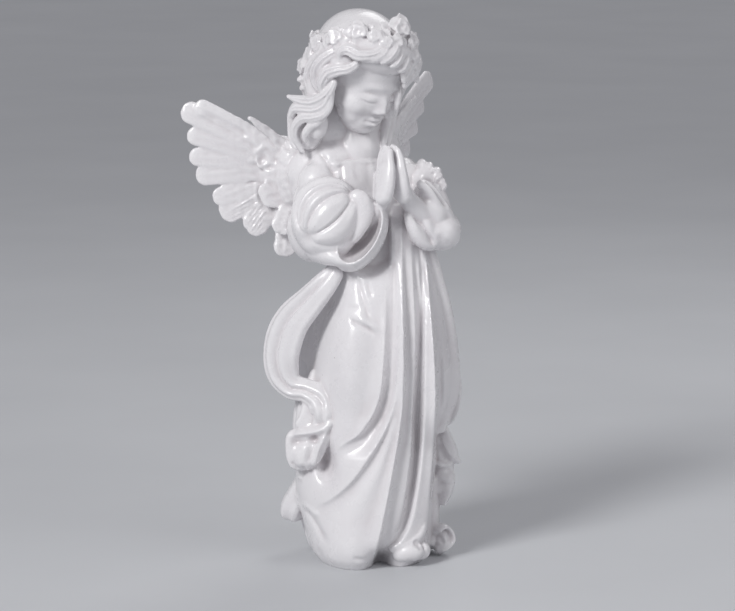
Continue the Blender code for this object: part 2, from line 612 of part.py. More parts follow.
def carve_face(mesh):
    points = points_of(mesh)
    inverse = np.linalg.inv(HEAD_ARRAY)
    local = points @ inverse[:3, :3].T + inverse[:3, 3]
    front = smoothstep(4, 12, -local[:, 1]) * smoothstep(-38, -33, local[:, 2])
    lift = face_lift(local[:, 0], local[:, 2]) * front
    local[:, 1] -= lift
    set_points(mesh, local @ HEAD_ARRAY[:3, :3].T + HEAD_ARRAY[:3, 3])


def torso_masses():
    turn = (0, 0, TURN)
    out = [
        ball(body(0, 0, 212), (29, 18, 26), turn),
        ball(body(0, 3, 200), (26, 19, 24), turn),
        ball(body(-27, 0, 219), (12, 11, 12), turn),
        ball(body(29, 0, 218), (13, 12, 13), turn),
        limb([HEAD_CENTRE + (-2, 4, -14), (-10, 2, 252), body(0, -1, 240), body(0, 0, 222)],
             [13.5, 12.5, 14, 18]),
        limb([body(0, -2, 236), body(15, -2, 230), body(28, -2, 222)], [10, 10, 11]),
        limb([body(0, -2, 236), body(-15, -2, 231), body(-28, -2, 223)], [10, 10, 11]),
    ]
    out.append(limb([body(30, 0, 218), body(36, 8, 204), body(38, 16, 192)], [11.5, 11, 9]))
    out.append(limb([body(-28, 0, 219), body(-34, 8, 203), body(-31, 16, 190)], [11.5, 11, 9]))
    out.append(ball((-39, -2, 214), (8, 10, 17)))
    out.append(ball(seen(-47.5, 221, 2), (10, 9, 16)))
    # from the shoulders and the back into the root of each wing
    out.append(ball(seen(-50, 222, 6.5), (18, 7, 18)))
    out.append(limb([(-14, 0, 244), (-26, -1, 236), (-38, -1, 226), (-44, 2, 214)], [11, 10, 10.5, 9]))
    out.append(ball(body(0, -7, 214), (25, 13, 24), turn))
    for side, place in ((-1, np.array), (1, mirrored)):
        blade = [place(p) for p in path_seen([(-40, 219, 13), (-50, 224, 11), (-62, 228, 9)])]
        root = [body(side * 3, -9, 212), body(side * 11, -14, 216)]
        out.append(limb(root + blade, [14, 17, 15, 12, 5], [9, 9, 6, 4, 2], facing=tuple(-FRONT)))
        ridge = [place(p) for p in path_seen([(-34, 224, 15), (-44, 232, 12), (-54, 237, 10)])]
        out.append(limb([body(side * 8, -10, 222)] + ridge, [9, 7.5, 6, 4]))
    return out


ARMPIT = [  # lines at the shoulder: points (x, height), half width, lift
    ([(-33, 234), (-27.5, 228.5), (-23.5, 222.5), (-20, 218)], 1.5, -2.6),
    ([(-29, 231.5), (-25.2, 226), (-21.5, 220), (-20, 216)], 1.0, 1.6),
    ([(-21, 228), (-19.6, 222), (-18.6, 216)], 1.0, -1.4),
    ([(-13, 231), (-12, 224), (-9.5, 215)], 1.3, -0.7),
    ([(-9.5, 231), (-8.4, 224), (-6, 214)], 1.5, 0.5),
    ([(-5, 231), (-4, 222), (-2.5, 212)], 1.2, -0.5),
    ([(-17, 230), (-15.8, 222), (-14.5, 214)], 1.4, 0.5),
]


def engrave(mesh, lines, reach=None):
    """Lines pressed into or raised from the skin where it faces the three-quarter view."""
    points = points_of(mesh)
    normals = normals_of(mesh)
    x, h = in_view(points)
    lift = np.zeros(len(points))
    for rows, wide, high in lines:
        lift += crease(x, h, rows, wide, high, 0.25)
    lift *= smoothstep(0.0, 0.35, -normals[:, 1])
    if reach is not None:
        lift *= points[:, 1] < reach
    set_points(mesh, points + normals * lift[:, None])


def carve_bodice(mesh):
    """The cloth over the chest: a rolled neckline with soft pleats hanging from it."""
    points = points_of(mesh)
    normals = normals_of(mesh)
    local = points - TORSO
    left, front = local @ LEFT, local @ FRONT
    edge = 231.8 - 0.004 * (left + 6) ** 2
    cloth = smoothstep(-0.7, 0.7, edge - points[:, 2]) * smoothstep(-25, -19, left)
    roll = np.exp(-((points[:, 2] - edge + 1.2) / 1.2) ** 2) * smoothstep(-25, -19, left)
    pleats = 0.3 * np.cos(0.75 * left + 0.03 * (points[:, 2] - 200)) * smoothstep(-6, 2, left)
    lift = (1.0 * cloth + 0.6 * roll + pleats * cloth) * smoothstep(2, 7, front)
    set_points(mesh, points + normals * lift[:, None])
    engrave(mesh, ARMPIT, 5.0)


def forearms():
    out = []
    out.append(limb([(36, -4, 190), (28, -14, 199), seen(18.5, 207, -24), seen(16.5, 214, -28)],
                    [8, 7, 5.2, 4.6]))
    out.append(limb([(-14, -12, 192), (-6, -18, 195), seen(3.6, 202, -31), seen(5.6, 211, -35)],
                    [5, 4.4, 3.2, 4.2]))
    return out


def hands():
    out = []
    for side in (-1, 1):
        out_to = LEFT * side
        wrist = seen(11, 203, -33) + out_to * 8.2
        palm = seen(10.0, 214, -33) + out_to * 5.6
        base = seen(9.3, 224, -32) + out_to * 4.2
        tip = seen(8.6, 238, -29) + out_to * 2.0
        face = tuple(out_to)
        out.append(limb([wrist, palm, base, base + (tip - base) * 0.4], [4.6, 7.4, 7.4, 6.2],
                        [4.6, 4.0, 3.2, 2.4],
                        facing=face, around=28))
        for offset, reach in ((-5.2, 0.86), (-1.8, 0.96), (1.7, 1.0), (5.0, 0.9)):
            root = base + FRONT * -offset
            end = base + (tip - base) * reach + FRONT * offset * -0.62
            mid = (root + end) / 2 + out_to * 0.5
            out.append(limb([root - (base - palm) * 0.4, root, mid, end], [2.1, 2.2, 2.1, 1.5],
                            [2.6, 2.6, 2.3, 1.6], facing=face))
        out.append(limb([wrist - FRONT * 4.5 + UP * 2, palm - FRONT * 7.4, palm - FRONT * 7.8 + UP * 8],
                        [3, 2.8, 2.0]))
    return out


# sleeves
POLE = np.array([-39.0, 184.0])
GATHER = np.array([-12.0, 210.0])
PLEATS = [  # place across the puff, depth, half width
    (96, -2.2, 4.0), (81, -1.5, 3.4), (88, 0.8, 3.0), (52, -2.2, 6.0), (66, 0.7, 5.0), (20, 0.8, 14.0),
    (-27, -2.6, 6.0), (-60, 0.8, 14.0), (-88, -1.0, 5.0),
]


def puff_relief(points, normal):
    x, h = in_view(points)
    px, pz = POLE[0] - x, POLE[1] - h
    gx, gz = GATHER[0] - x, GATHER[1] - h
    angle = np.degrees(np.arctan2(px * gz - pz * gx, px * gx + pz * gz))
    across = np.sign(angle) * (180 - np.abs(angle))
    lift = np.zeros(len(points))
    for place, high, wide in PLEATS:
        lift += high * np.exp(-((across - place) / wide) ** 2)
    near = np.minimum(np.hypot(px, pz), np.hypot(gx, gz))
    ends = smoothstep(0, 9, near)
    lift = lift * (0.35 + 0.65 * ends) - 2.2 * (1 - smoothstep(0, 7, near))
    return lift * smoothstep(-0.05, 0.35, -normal[:, 1])


def cuff_bell():
    """The wide mouth of the sleeve, hollowed so that only its rim and far wall show."""
    outer = fused([
        ball(seen(-8.3, 184.6, -28), (13.4, 16, 21.8), (0, 29, 0), around=64, along=48),
        limb(path_seen([(-14, 168.4, -33), (-20, 171.6, -32), (-27, 175, -27), (-36, 180, -16)]),
             [2.6, 4.6, 7, 9], [5, 7, 9, 10]),
    ], 0.7)
    hollow = ball(seen(-9.0, 186.0, -40), (11.8, 25, 20), (0, 29, 0), around=64, along=48)
    return hollowed(outer, hollow)


def right_sleeve():
    return [
        cuff_bell(),
        ball(seen(-27.5, 195.5, -25), (20.5, 17, 23.5), around=140, along=110, relief=puff_relief),
        ball(seen(-37, 187, -13), (13, 15, 17), (0, -12, 0)),
        ball(seen(-33, 205, -14), (14, 15, 14)),
        limb(path_seen([(-9, 209.6, -29), (-6.2, 205, -29), (-5.8, 199, -28), (-8.4, 192, -25)]),
             [3.4, 5.6, 6.0, 4.4], [4, 4.4, 4, 3]),
    ]


LEFT_SLEEVE_LINES = [
    ([(25, 198.5), (26.4, 193), (28.6, 187), (34, 178)], 1.3, -2.6),
    ([(21, 203), (22.4, 194), (25, 186), (29.5, 180)], 2.2, 0.8),
    ([(27, 213), (32, 206), (36.5, 200), (41, 195)], 1.6, 1.0),
    ([(24.4, 209), (29, 203.4), (33.4, 199.6)], 1.4, -1.6),
    ([(31.4, 213), (35.5, 206), (39.4, 200)], 0.9, -2.4),
    ([(36.5, 211), (39, 204), (41, 198)], 0.9, -1.6),
]


def left_sleeve():
    def folds(points, normal):
        y, z = points[:, 1], points[:, 2]
        wave = np.cos(0.62 * (z - 0.9 * y)) + 0.5 * np.cos(1.1 * z + 0.4 * y)
        return 0.5 * wave * smoothstep(0.2, 0.8, normal @ LEFT + 0.5 * normal[:, 1])

    return [
        ball(seen(36.4, 188.4, -6), (12.8, 13, 12), (0, 14, 0), around=64, along=48, relief=folds),
        ball(seen(27, 190, -13), (9, 11, 14), (0, -22, 0)),
        ball(seen(31.5, 186.4, -10), (10, 12, 10.4)),
        limb(path_seen([(18.4, 200, -20), (21.6, 191, -20), (26.5, 183.4, -17), (33, 179.8, -12)]),
             [2.6, 4.2, 5, 4], [4, 7, 8, 7]),
        limb(path_seen([(26, 208, -17), (32, 200, -15), (38, 192, -11)]), [5, 7, 8.4], [5, 6, 7]),
        limb(path_seen([(25.6, 213.8, -17), (29, 212.4, -17.5), (33.5, 206, -16), (38, 199.5, -13),
                        (42.5, 194, -9)]),
             [2.2, 3.0, 3.2, 3.4, 4], [3.2, 3.6, 3.6, 3.6, 4]),
        limb(path_seen([(28.5, 216, -10), (32.5, 213.6, -11), (36.5, 207.5, -10), (40, 199.5, -7)]),
             [1.8, 2.4, 2.8, 3], [3, 3.4, 3.6, 4]),
        limb(path_seen([(33.4, 217.4, 0), (37.6, 213.4, -1), (39.6, 205, -1), (41, 196, 0)]),
             [2.4, 2.6, 2.6, 3.5], [5, 6, 7, 8]),
        ball(seen(33, 204, 0), (7, 10, 13)),
        ball(seen(26, 206, -4), (5, 8, 9)),
        ball(seen(29, 217, 10), (8, 9, 9)),
    ]


def frill():
    """The gathered edge that stands over the left shoulder."""
    out = []
    for x, h, y, size, lean in ((26.6, 225, 13, 3.8, 10), (30.4, 224.4, 10, 3.0, 30),
                                (34, 220.6, 9, 4.0, 35), (37.4, 215, 6, 3.4, 20)):
        out.append(ball(seen(x, h, y), (size * 0.8, size * 1.6, size * 1.25), (0, lean, 12)))
        out.append(ball(seen(x + 1.6, h - 2.4, y - 4), (size * 0.5, size, size), (0, lean + 14, 0)))
    return out


# wings
# Feathers: root (x, height), tip (x, height), half widths at root, middle and tip, depth of the tip,
# height of the barbs.
FEATHERS = [
    ((-50, 230), (-99.0, 259.0), (5, 4.8, 4.8), 9.0, 0.25),
    ((-52, 229), (-105.5, 256.0), (6, 7.0, 6.4), 9.0, 0.25),
    ((-54, 228), (-103.0, 242.6), (6, 7.5, 5.2), 8.0, 0.25),
    ((-54, 226), (-102.0, 230.4), (6, 7.5, 5.0), 7.0, 0.25),
    ((-54, 223), (-97.0, 220.0), (6, 7.5, 6.2), 6.2, 0.3),
    ((-54, 219), (-88.2, 207.4), (6, 7.5, 5.2), 5.5, 0.35),
    ((-53, 216), (-82.4, 199.8), (6, 8, 7.4), 5.0, 0.7),
    ((-52, 212), (-68.0, 192.2), (6, 8, 7.8), 4.2, 0.8),
    ((-47, 206), (-51.5, 178.8), (6, 7, 6.6), 2.0, 0.35),
]
COVERTS = [
    ((-50, 235), (-71.6, 252.8), (3.2, 2.8, 1.7), 4.0, 0.15),
    ((-50, 232), (-70.0, 240.6), (5, 5.2, 4.4), 5.6, 0.25),
    ((-50, 229), (-71.6, 232.0), (5, 5.6, 4.8), 4.9, 0.25),
    ((-50, 225), (-70.4, 223.4), (5, 5.6, 4.8), 4.4, 0.25),
    ((-49, 221), (-66.6, 215.2), (5, 6.0, 5.2), 3.8, 0.3),
    ((-48, 216), (-61.0, 207.0), (5, 6.2, 5.6), 3.0, 0.3),
    ((-44, 208), (-53, 191), (6, 7, 6.2), 1.0, 0.3),
]


def mirrored(p):
    """The point on the other wing: across the figure's middle plane and held a little higher."""
    p = np.array(p, float)
    reach = p @ LEFT
    spread_out = min(1.0, max(0.0, -reach - 20) / 45)
    drawn_in = 0.34 * max(0.0, 268 - p[2]) * spread_out
    return p - 2 * LEFT * reach - UP * 0.05 * min(0.0, reach + 20) - LEFT * drawn_in


BARB_PITCH = 2.7


def feather(root, tip, wide, depth, barbs, thick, rank, mirror):
    """One feather: a blunt blade with a raised shaft and slanting barbs."""
    start = seen(root[0], root[1], 10.0 - rank)
    end = seen(tip[0], tip[1], depth - rank)
    along = unit(end - start)
    length = np.linalg.norm(end - start)
    drop = np.array([0, 0, -0.03]) * length
    path = [start, start + (end - start) * 0.35 - drop, start + (end - start) * 0.72 - drop * 0.8,
            end + along * wide[2] * 0.92]
    facing = np.array([0.1, -1, 0.1])
    if mirror:
        path = [mirrored(p) for p in path]
        facing = facing - 2 * LEFT * (facing @ LEFT)

    def blade(c, run):
        cup = 1.0 * c * c * run
        shaft = 0.6 * np.exp(-(c / 0.12) ** 2)
        slant = (run * length - np.abs(c) * wide[1] * 0.9) / BARB_PITCH
        return cup + shaft + barbs * np.cos(2 * math.pi * slant) * smoothstep(0.1, 0.35, np.abs(c))

    return limb(path, [wide[0], wide[1], (wide[1] + wide[2]) / 2, wide[2]],
                [thick * 1.2, thick, thick, thick * 0.8],
                facing=tuple(facing), relief=blade, around=64, along=120, blunt=0.9)


def wings():
    out = []
    for mirror in (False, True):
        place = mirrored if mirror else np.array
        for k, (root, tip, wide, depth, barbs) in enumerate(FEATHERS):
            out.append(feather(root, tip, wide, depth, barbs, 1.5, 3.0 - k * 0.8, mirror))
        for k, (root, tip, wide, depth, barbs) in enumerate(COVERTS):
            out.append(feather(root, tip, wide, depth, barbs, 1.4, 3.6 - k * 0.35, mirror))
        arm = [(-26, 226, 16), (-42, 234, 13), (-54, 238, 11), (-65, 241.6, 9), (-78, 245.6, 8),
               (-92, 255.6, 8)]
        out.append(limb([place(p) for p in path_seen(arm)], [10, 7, 5.4, 4.0, 2.8, 2.0],
                        [8, 6.5, 5, 4, 3, 2.4]))
        turn = (0, 0, 2 * TURN) if mirror else (0, 0, 0)
        for centre, radii in (((-40, 216, 12), (18, 8, 24)), ((-51, 221, 9), (16, 5.4, 17)),
                              ((-50, 196, 9), (8, 5, 18)),
                              ((-70, 232, 10), (16, 2.6, 13))):
            out.append(ball(place(seen(*centre)), radii, turn))
    return out


# hair
def lock(rows, widths, strands=3, deep=0.8, twist=1.0, height=0.24, facing=(0, -1, 0.15)):
    widths = np.array(widths, float)
    size = widths.max()

    def groove(c, run):
        wave = np.cos(strands * math.pi * c + twist * math.pi * run)
        return height * size * wave

    return limb(rows, widths, widths * deep, facing=facing, relief=groove, around=12 * strands, along=44)


SEEN_LOCKS = [  # points (x, height, depth), half widths, strands
    # brow: the big wave and the one below it
    ([(5, 293.5, -37), (-1, 290, -39), (-9, 289.6, -39.5), (-15, 292.6, -38), (-19.5, 291.5, -36),
      (-20.5, 286.6, -34.5)],
     [2.2, 3.0, 3.6, 3.4, 2.6, 1.4], 3),
    ([(7, 290, -38), (0, 287.4, -39.5), (-7, 286.2, -39.5)], [1.2, 1.7, 1.0], 2),
    ([(-9, 285.6, -36.5), (-15, 281.8, -36.5), (-21, 281, -35.5), (-27, 279, -33), (-30.4, 273.6, -31),
      (-30.4, 268, -29.5)],
     [2.2, 3.0, 3.6, 3.8, 3.2, 1.6], 3),
    # from under the wreath back over the side
    ([(-20, 293, -33), (-26, 289.6, -32), (-31, 285.6, -30), (-34, 280, -27), (-33.4, 273, -25.5),
      (-29.6, 267.6, -26)],
     [2.4, 3.4, 3.8, 3.6, 3.0, 1.6], 3),
    ([(-28, 292, -27), (-33.4, 287.4, -24), (-37, 281, -20), (-37.4, 274, -18), (-34.6, 267.4, -20),
      (-29, 265, -24)],
     [2.6, 3.4, 3.6, 3.4, 3.0, 1.4], 3),
    ([(-33, 290, -19), (-37.4, 285, -15), (-39.4, 278.6, -12), (-38.6, 271, -12), (-34.6, 265.6, -16)],
     [2.8, 3.2, 3.0, 2.8, 1.6], 3),
    # the flips at the silhouette
    ([(-36, 281, -13), (-40, 276.4, -12), (-44.6, 274.4, -11)], [3.2, 2.2, 0.9], 3),
    ([(-36, 275, -13), (-40, 271, -12), (-43.4, 269.6, -11)], [2.8, 2.0, 0.9], 3),
    ([(-22.6, 275.6, -33), (-25.4, 270, -32), (-29.6, 265.4, -30), (-36, 262.8, -26.5), (-43, 263.6, -22),
      (-50.6, 266, -17.5)],
     [1.6, 2.8, 3.4, 3.6, 2.8, 0.9], 3),
    ([(-24, 272, -32), (-25.6, 266, -31), (-28.8, 261, -29.5), (-34, 258.4, -27), (-40.5, 258.6, -23),
      (-46, 258.4, -19), (-48.4, 253, -16.5)],
     [1.4, 2.4, 3.0, 3.4, 3.2, 3.0, 1.8], 3),
    ([(-24.2, 267, -31), (-25.8, 260, -30.5), (-29.4, 255.4, -29), (-35, 253.8, -26.5), (-41, 253.2, -23),
      (-45.4, 249, -20),
      (-46, 242.6, -18), (-43, 236.8, -17), (-40.2, 232.6,
                                             -17)], [1.2, 2.0, 2.6, 3.0, 3.0, 2.8, 2.6, 2.0, 0.9], 3),
    ([(-44, 262, -15), (-47.4, 256, -12), (-47.8, 248.6, -10), (-47.2, 241, -10), (-44, 235, -12)],
     [2.8, 2.6, 2.4, 2.4, 1.4], 3),
    ([(-27.6, 254.6, -27), (-32, 250.8, -26.5), (-37, 248.2, -24.5), (-40, 243.6, -22.5),
      (-39.4, 238.6, -21)], [1.2, 2.0, 2.4, 2.2, 0.9], 3),
    # the right of the view
    ([(6, 296, -36), (8.8, 291.6, -37.5), (7, 287.5, -38.5), (3.0, 285.0, -39)], [1.8, 2.2, 1.8, 0.9], 3),
    ([(11, 297, -33), (13, 291.6, -34.5), (10.6, 287, -36), (6.5, 284.2, -37.5)], [2.0, 2.4, 2.0, 0.9], 3),
    ([(16, 297, -27), (19.4, 291, -27), (18.4, 285.6, -28), (14.2, 281.2, -30)], [2.4, 2.8, 2.4, 1.1], 3),
    ([(21, 295, -18), (24, 289, -18), (23, 283, -18), (18, 277.6, -21), (15.4, 271.4, -22.5)],
     [3.0, 3.2, 3.0, 2.4, 1.3], 3),
    ([(21, 292, -8), (22.4, 285, -8), (18, 278, -10), (12.8, 272, -13), (13, 265, -15), (11.4, 257, -15)],
     [4, 4.2, 4, 3.2, 2.4, 1.2], 3),
    ([(15, 284, 0), (12, 272, -4), (8, 262, -8), (8, 252, -8)], [6, 6, 5, 3], 3),
]


def hair():
    out = [head_ball((0, 5, 8), (27.5, 29.5, 27)), head_ball((0, 9, -4), (24, 23, 25))]
    out.append(head_ball((0, -0.5, 16), (27, 28.8, 18)))
    out.append(ball(seen(-29, 284, -18), (8, 10, 13)))
    out.append(ball(seen(-19, 286, -32.5), (6.5, 4, 5)))
    out.append(ball(seen(-33, 250, -20), (6, 5, 9)))
    out.append(ball(seen(-33, 268, -14), (7.5, 11, 17)))
    out.append(ball(seen(-38, 250, -9), (9, 9, 15)))
    out.append(ball((-24, 2, 250), (15, 13, 18)))
    for rows, widths, strands in SEEN_LOCKS:
        out.append(lock(path_seen(rows), widths, strands))
    # the back: two layers of waves from the wreath to the shoulders
    for layer, (count, swell) in enumerate(((9, 0.0), (8, 2.2))):
        for k in range(count):
            bearing = math.radians(-12 + (k + 0.5 * layer) * 168 / (count - 1) + 4)
            # bearing 0 points to the left of the view's back, 180 to its right
            across, back = -math.cos(bearing), math.sin(bearing)
            wob = 2.6 * (1 if (k + layer) % 2 else -1)
            rows = []
            for j, (radius, z) in enumerate(((27.5, 297), (30, 286), (29.5, 274), (27, 262), (24, 250),
                                             (21, 240), (17, 230 + 5 * layer))):
                sway = wob * math.sin(j * 1.7 + 0.6 * k)
                r = (radius + swell) * (1 - 0.36 * max(0.0, across) * min(1.0, (300 - z) / 25))
                r *= 1 - 0.17 * max(0.0, -across - 0.4)
                rows.append((-9 + across * r * 0.95 - back * sway, -2 + back * r * 0.95 + across * sway,
                             z + 1.5 * math.sin(3.1 * k)))
            out.append(lock(rows, [3, 5.4, 5.8, 5.6, 5.0, 4.0, 1.6], 3, deep=0.75,
                            facing=(across, back, 0.1)))
    return out


def petal(base, outward, normal, size, cup):
    """One petal: a thin blade that leans out from the middle of its blossom, its edge curled."""
    across = np.cross(normal, outward)
    tip = base + outward * size * (0.62 - 0.2 * cup) + normal * size * (0.16 + 0.5 * cup)
    middle = base + outward * size * 0.36 + normal * size * 0.22
    facing = tuple(normal - outward * (0.25 + cup))

    def curl(c, run):
        return 0.2 * size * c * c * run

    return limb([base, middle, tip], [size * 0.2, size * 0.42, size * 0.3],
                [size * 0.11, size * 0.12, size * 0.12],
                facing=facing, relief=curl, around=14, along=12)


def rose(centre, normal, size, turn=0.4):
    """A rose: a bud wrapped by two rings of petals, facing along normal."""
    normal = unit(normal)
    side = unit(np.cross(normal, (0.31, 0.12, 0.95)))
    other = np.cross(normal, side)
    centre = np.array(centre, float)
    out = [ball(centre + normal * size * 0.22, (size * 0.27,) * 3, around=12, along=8),
           ball(centre - normal * size * 0.3, (size * 0.6, size * 0.6, size * 0.45), around=14, along=10)]
    for count, cup, start in ((3, 0.95, 0.22), (5, 0.3, 0.34)):
        for k in range(count):
            a = 2 * math.pi * (k + 0.5 * start) / count + turn + 0.35 * math.sin(4.0 * k + turn)
            outward = side * math.cos(a) + other * math.sin(a)
            out.append(petal(centre + outward * size * start * (1 - 0.5 * cup), outward, normal, size, cup))
    return out


def leaf(root, tip, wide, facing):
    root, tip = np.array(root, float), np.array(tip, float)
    mid = (root + tip) / 2 + unit(facing) * 0.8

    def vein(c, run):
        return 0.5 * np.abs(c) - 0.2

    return limb([root, mid, tip], [wide * 0.5, wide, wide * 0.35], [0.9, 0.9, 0.6], facing=facing,
                relief=vein,
                around=14, along=12)


WREATH_CENTRE = np.array([-6.5, -6.0, 295.5])


def on_wreath(bearing, out_by, up_by=0.0):
    """A point of the wreath: bearing 0 is towards the view, growing to its right."""
    x = math.sin(bearing) * out_by
    y = -math.cos(bearing) * out_by * 0.97
    return WREATH_CENTRE + np.array([x, y, up_by - 0.26 * y - 0.09 * x])


def wreath():
    out = []
    for k in range(20):
        a = 2 * math.pi * k / 20
        rows = [on_wreath(a + j * 0.14, 27.5) for j in range(4)]
        out.append(limb(rows, 5.2, around=12, along=10))
    count = 13
    for k in range(count):
        a = 2 * math.pi * k / count + 0.1
        for row, (up, size) in enumerate(((4.2, 5.0), (-3.4, 5.4))):
            b = a + row * math.pi / count
            if abs(math.degrees(b) - 38) < 13 and row == 0:
                continue
            normal = np.array([math.sin(b), -math.cos(b), 0.55 if row == 0 else 0.15])
            out += rose(on_wreath(b, 29.0 - 1.6 * (row == 0), up + 0.8 * math.sin(5.0 * k)), normal,
                        size + 0.8 * math.sin(3.0 * k), 0.4 + k)
            c = b + math.pi / count
            face = (math.sin(c), -math.cos(c), 0.35)
            tip = 1 if (k + row) % 2 else -1
            out.append(leaf(on_wreath(c - 0.13 * tip, 29.4, up - 1.6),
                            on_wreath(c + 0.13 * tip, 30.4, up + 2.4), 2.7, face))
    out += rose(seen(14, 305.5, -20), (0.5, -0.8, 0.35), 7.2)
    out.append(leaf(seen(8, 303, -26), seen(3.5, 308, -24), 3.4, (0, -1, 0.4)))
    for x, h, y, size in ((21.4, 294.4, -21, 5.2), (23.6, 286.4, -17, 5.0), (21.6, 278.6, -19, 4.4),
                          (5.6, 299.6, -33, 5.4),
                          (-6.4, 300.4, -35, 5.6), (-18.4, 299, -32,
                                                    5.2), (-41.4, 283.6, -13, 5.4), (-38, 292, -14, 5.0)):
        outward = seen(x, h, y) - WREATH_CENTRE
        out += rose(seen(x, h, y), outward * (1, 1, 0) + UP * 6, size, 0.3 * x)
    return out


def build(voxel=0.8):
    """All the groups of forms grown together into one skin."""
    head = fused(head_masses(), voxel * 0.8, 40)
    carve_face(head)
    torso = fused(torso_masses(), voxel * 0.8, 60)
    carve_bodice(torso)
    sleeve = fused(left_sleeve(), voxel * 0.8, 26)
    engrave(sleeve, LEFT_SLEEVE_LINES)
    return fused([
        fused([robe()], voxel * 0.8, 1),
        fused(robe_extras(), voxel, 4),
        fused(scarf(), voxel, 3),
        head,
        torso,
        fused(forearms() + hands(), voxel * 0.7, 5),
        fused(right_sleeve(), voxel * 0.8, 3),
        sleeve,
        fused(frill(), voxel * 0.8, 1),
        fused(wings(), voxel * 0.8, 1),
        fused(hair(), voxel * 0.7, 0),
        fused(wreath(), voxel * 0.6, 0),
    ], voxel, 1)


def largest_shell(mesh):
    """The outer skin alone, without loose crumbs or bubbles."""
    bm = bmesh.new()
    bm.from_mesh(mesh)
    bm.verts.ensure_lookup_table()
    seen_verts = np.zeros(len(bm.verts), bool)
    shells = []
    for start in bm.verts:
        if seen_verts[start.index]:
            continue
        shell = [start]
        seen_verts[start.index] = True
        for vert in shell:
            for edge in vert.link_edges:
                other = edge.other_vert(vert)
                if not seen_verts[other.index]:
                    seen_verts[other.index] = True
                    shell.append(other)
        shells.append(shell)
    shells.sort(key=len, reverse=True)
    for shell in shells[1:]:
        bmesh.ops.delete(bm, geom=shell, context="VERTS")
    bm.to_mesh(mesh)
    bm.free()
    return mesh


def cut_flat(mesh):
    """The underside cut level at height 0 and closed."""
    bm = bmesh.new()
    bm.from_mesh(mesh)
    geometry = bm.verts[:] + bm.edges[:] + bm.faces[:]
    bmesh.ops.bisect_plane(bm, geom=geometry, dist=1e-4, plane_co=(0, 0, 0), plane_no=(0, 0, 1),
                           clear_inner=True)
    rim = [edge for edge in bm.edges if edge.is_boundary]
    bmesh.ops.holes_fill(bm, edges=rim, sides=0)
    bmesh.ops.triangulate(bm, faces=[f for f in bm.faces if len(f.verts) > 4])
    bm.to_mesh(mesh)
    bm.free()
    return mesh


def thinned(mesh, count):
    """The skin reduced to about the given number of triangles, its underside kept level."""
    triangles = sum(len(face.vertices) - 2 for face in mesh.polygons)
    mesh = evaluated(mesh, [("DECIMATE", dict(ratio=count / triangles, use_collapse_triangulate=True))])
    points = points_of(mesh)
    points[points[:, 2] < LEVEL_BAND, 2] = 0.0
    set_points(mesh, points)
    return mesh


def figure():
    whole = largest_shell(fused([build(CLAY)], CAST, 2))
    return thinned(cut_flat(whole), FACET_COUNT)


def lacquer():
    material = bpy.data.materials.new("white_lacquer")
    material.use_nodes = True
    shader = material.node_tree.nodes["Principled BSDF"]
    shader.inputs["Base Color"].default_value = LACQUER
    shader.inputs["Roughness"].default_value = LACQUER_ROUGHNESS
    shader.inputs["Metallic"].default_value = 0.0
    return material


def main():
    for old in list(bpy.data.objects):
        bpy.data.objects.remove(old)
    mesh = figure()
    mesh.transform(Matrix.Scale(MM, 4) @ Matrix.Rotation(math.radians(-TURN), 4, "Z"))
    mesh.name = NODE
    mesh.shade_smooth()
    mesh.materials.clear()
    mesh.materials.append(lacquer())
    piece = bpy.data.objects.new(NODE, mesh)
    parts = bpy.data.collections.new("Angel figurine")
    bpy.context.scene.collection.children.link(parts)
    parts.objects.link(piece)


main()
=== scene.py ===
"""Standing figurine of a child angel with praying hands, in glossy white lacquer.

The figure is worked like clay. Rounded forms overlap, grow together into one skin and are then softened
and carved. Forms are given in millimetres in the three-quarter view the angel is usually seen from, and
the finished skin is turned so that its front faces -Y. It stands on the flat underside of its robe at the
origin.
"""

import math

import bmesh
import bpy
import numpy as np
from mathutils import Matrix, Vector


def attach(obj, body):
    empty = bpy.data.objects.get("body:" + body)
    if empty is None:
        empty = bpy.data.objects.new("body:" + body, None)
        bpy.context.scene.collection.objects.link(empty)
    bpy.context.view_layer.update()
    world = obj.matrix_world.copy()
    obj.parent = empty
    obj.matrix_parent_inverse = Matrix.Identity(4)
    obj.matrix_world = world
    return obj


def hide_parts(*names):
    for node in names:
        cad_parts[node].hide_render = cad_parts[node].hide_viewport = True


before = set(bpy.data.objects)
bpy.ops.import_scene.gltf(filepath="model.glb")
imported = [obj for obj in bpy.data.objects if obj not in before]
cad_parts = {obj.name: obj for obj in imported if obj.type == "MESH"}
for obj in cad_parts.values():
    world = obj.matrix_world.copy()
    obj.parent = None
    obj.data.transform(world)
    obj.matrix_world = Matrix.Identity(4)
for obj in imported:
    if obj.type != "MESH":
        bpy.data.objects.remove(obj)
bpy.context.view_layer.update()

MM = 0.001
NODE = "angel_figurine"
CLAY = 0.55    # size of the cells in which the forms grow together, mm
FACET_COUNT = 190000                  # triangles of the finished skin
SOFTENING = 0.5                       # how far each softening pass evens the skin out
LEVEL_BAND = 0.1                      # height below which the underside is brought level, mm


def smoothstep(low, high, x):
    t = np.clip((x - low) / (high - low), 0.0, 1.0)
    return t * t * (3 - 2 * t)


def curve_through(points, steps=12):
    """A smooth curve through the points."""
    points = np.array(points, float)
    ends = np.vstack([2 * points[0] - points[1], points, 2 * points[-1] - points[-2]])
    share = np.linspace(0, 1, steps, endpoint=False)[:, None]
    fine = []
    for a, b, c, d in zip(ends[:-3], ends[1:-2], ends[2:-1], ends[3:]):
        bend = (2 * a - 5 * b + 4 * c - d) * share**2 + (3 * b - a - 3 * c + d) * share**3
        fine.append(0.5 * (2 * b + (c - a) * share + bend))
    return np.vstack(fine + [points[-1:]])


def unit(v):
    v = np.asarray(v, float)
    return v / np.maximum(np.linalg.norm(v, axis=-1, keepdims=True), 1e-9)


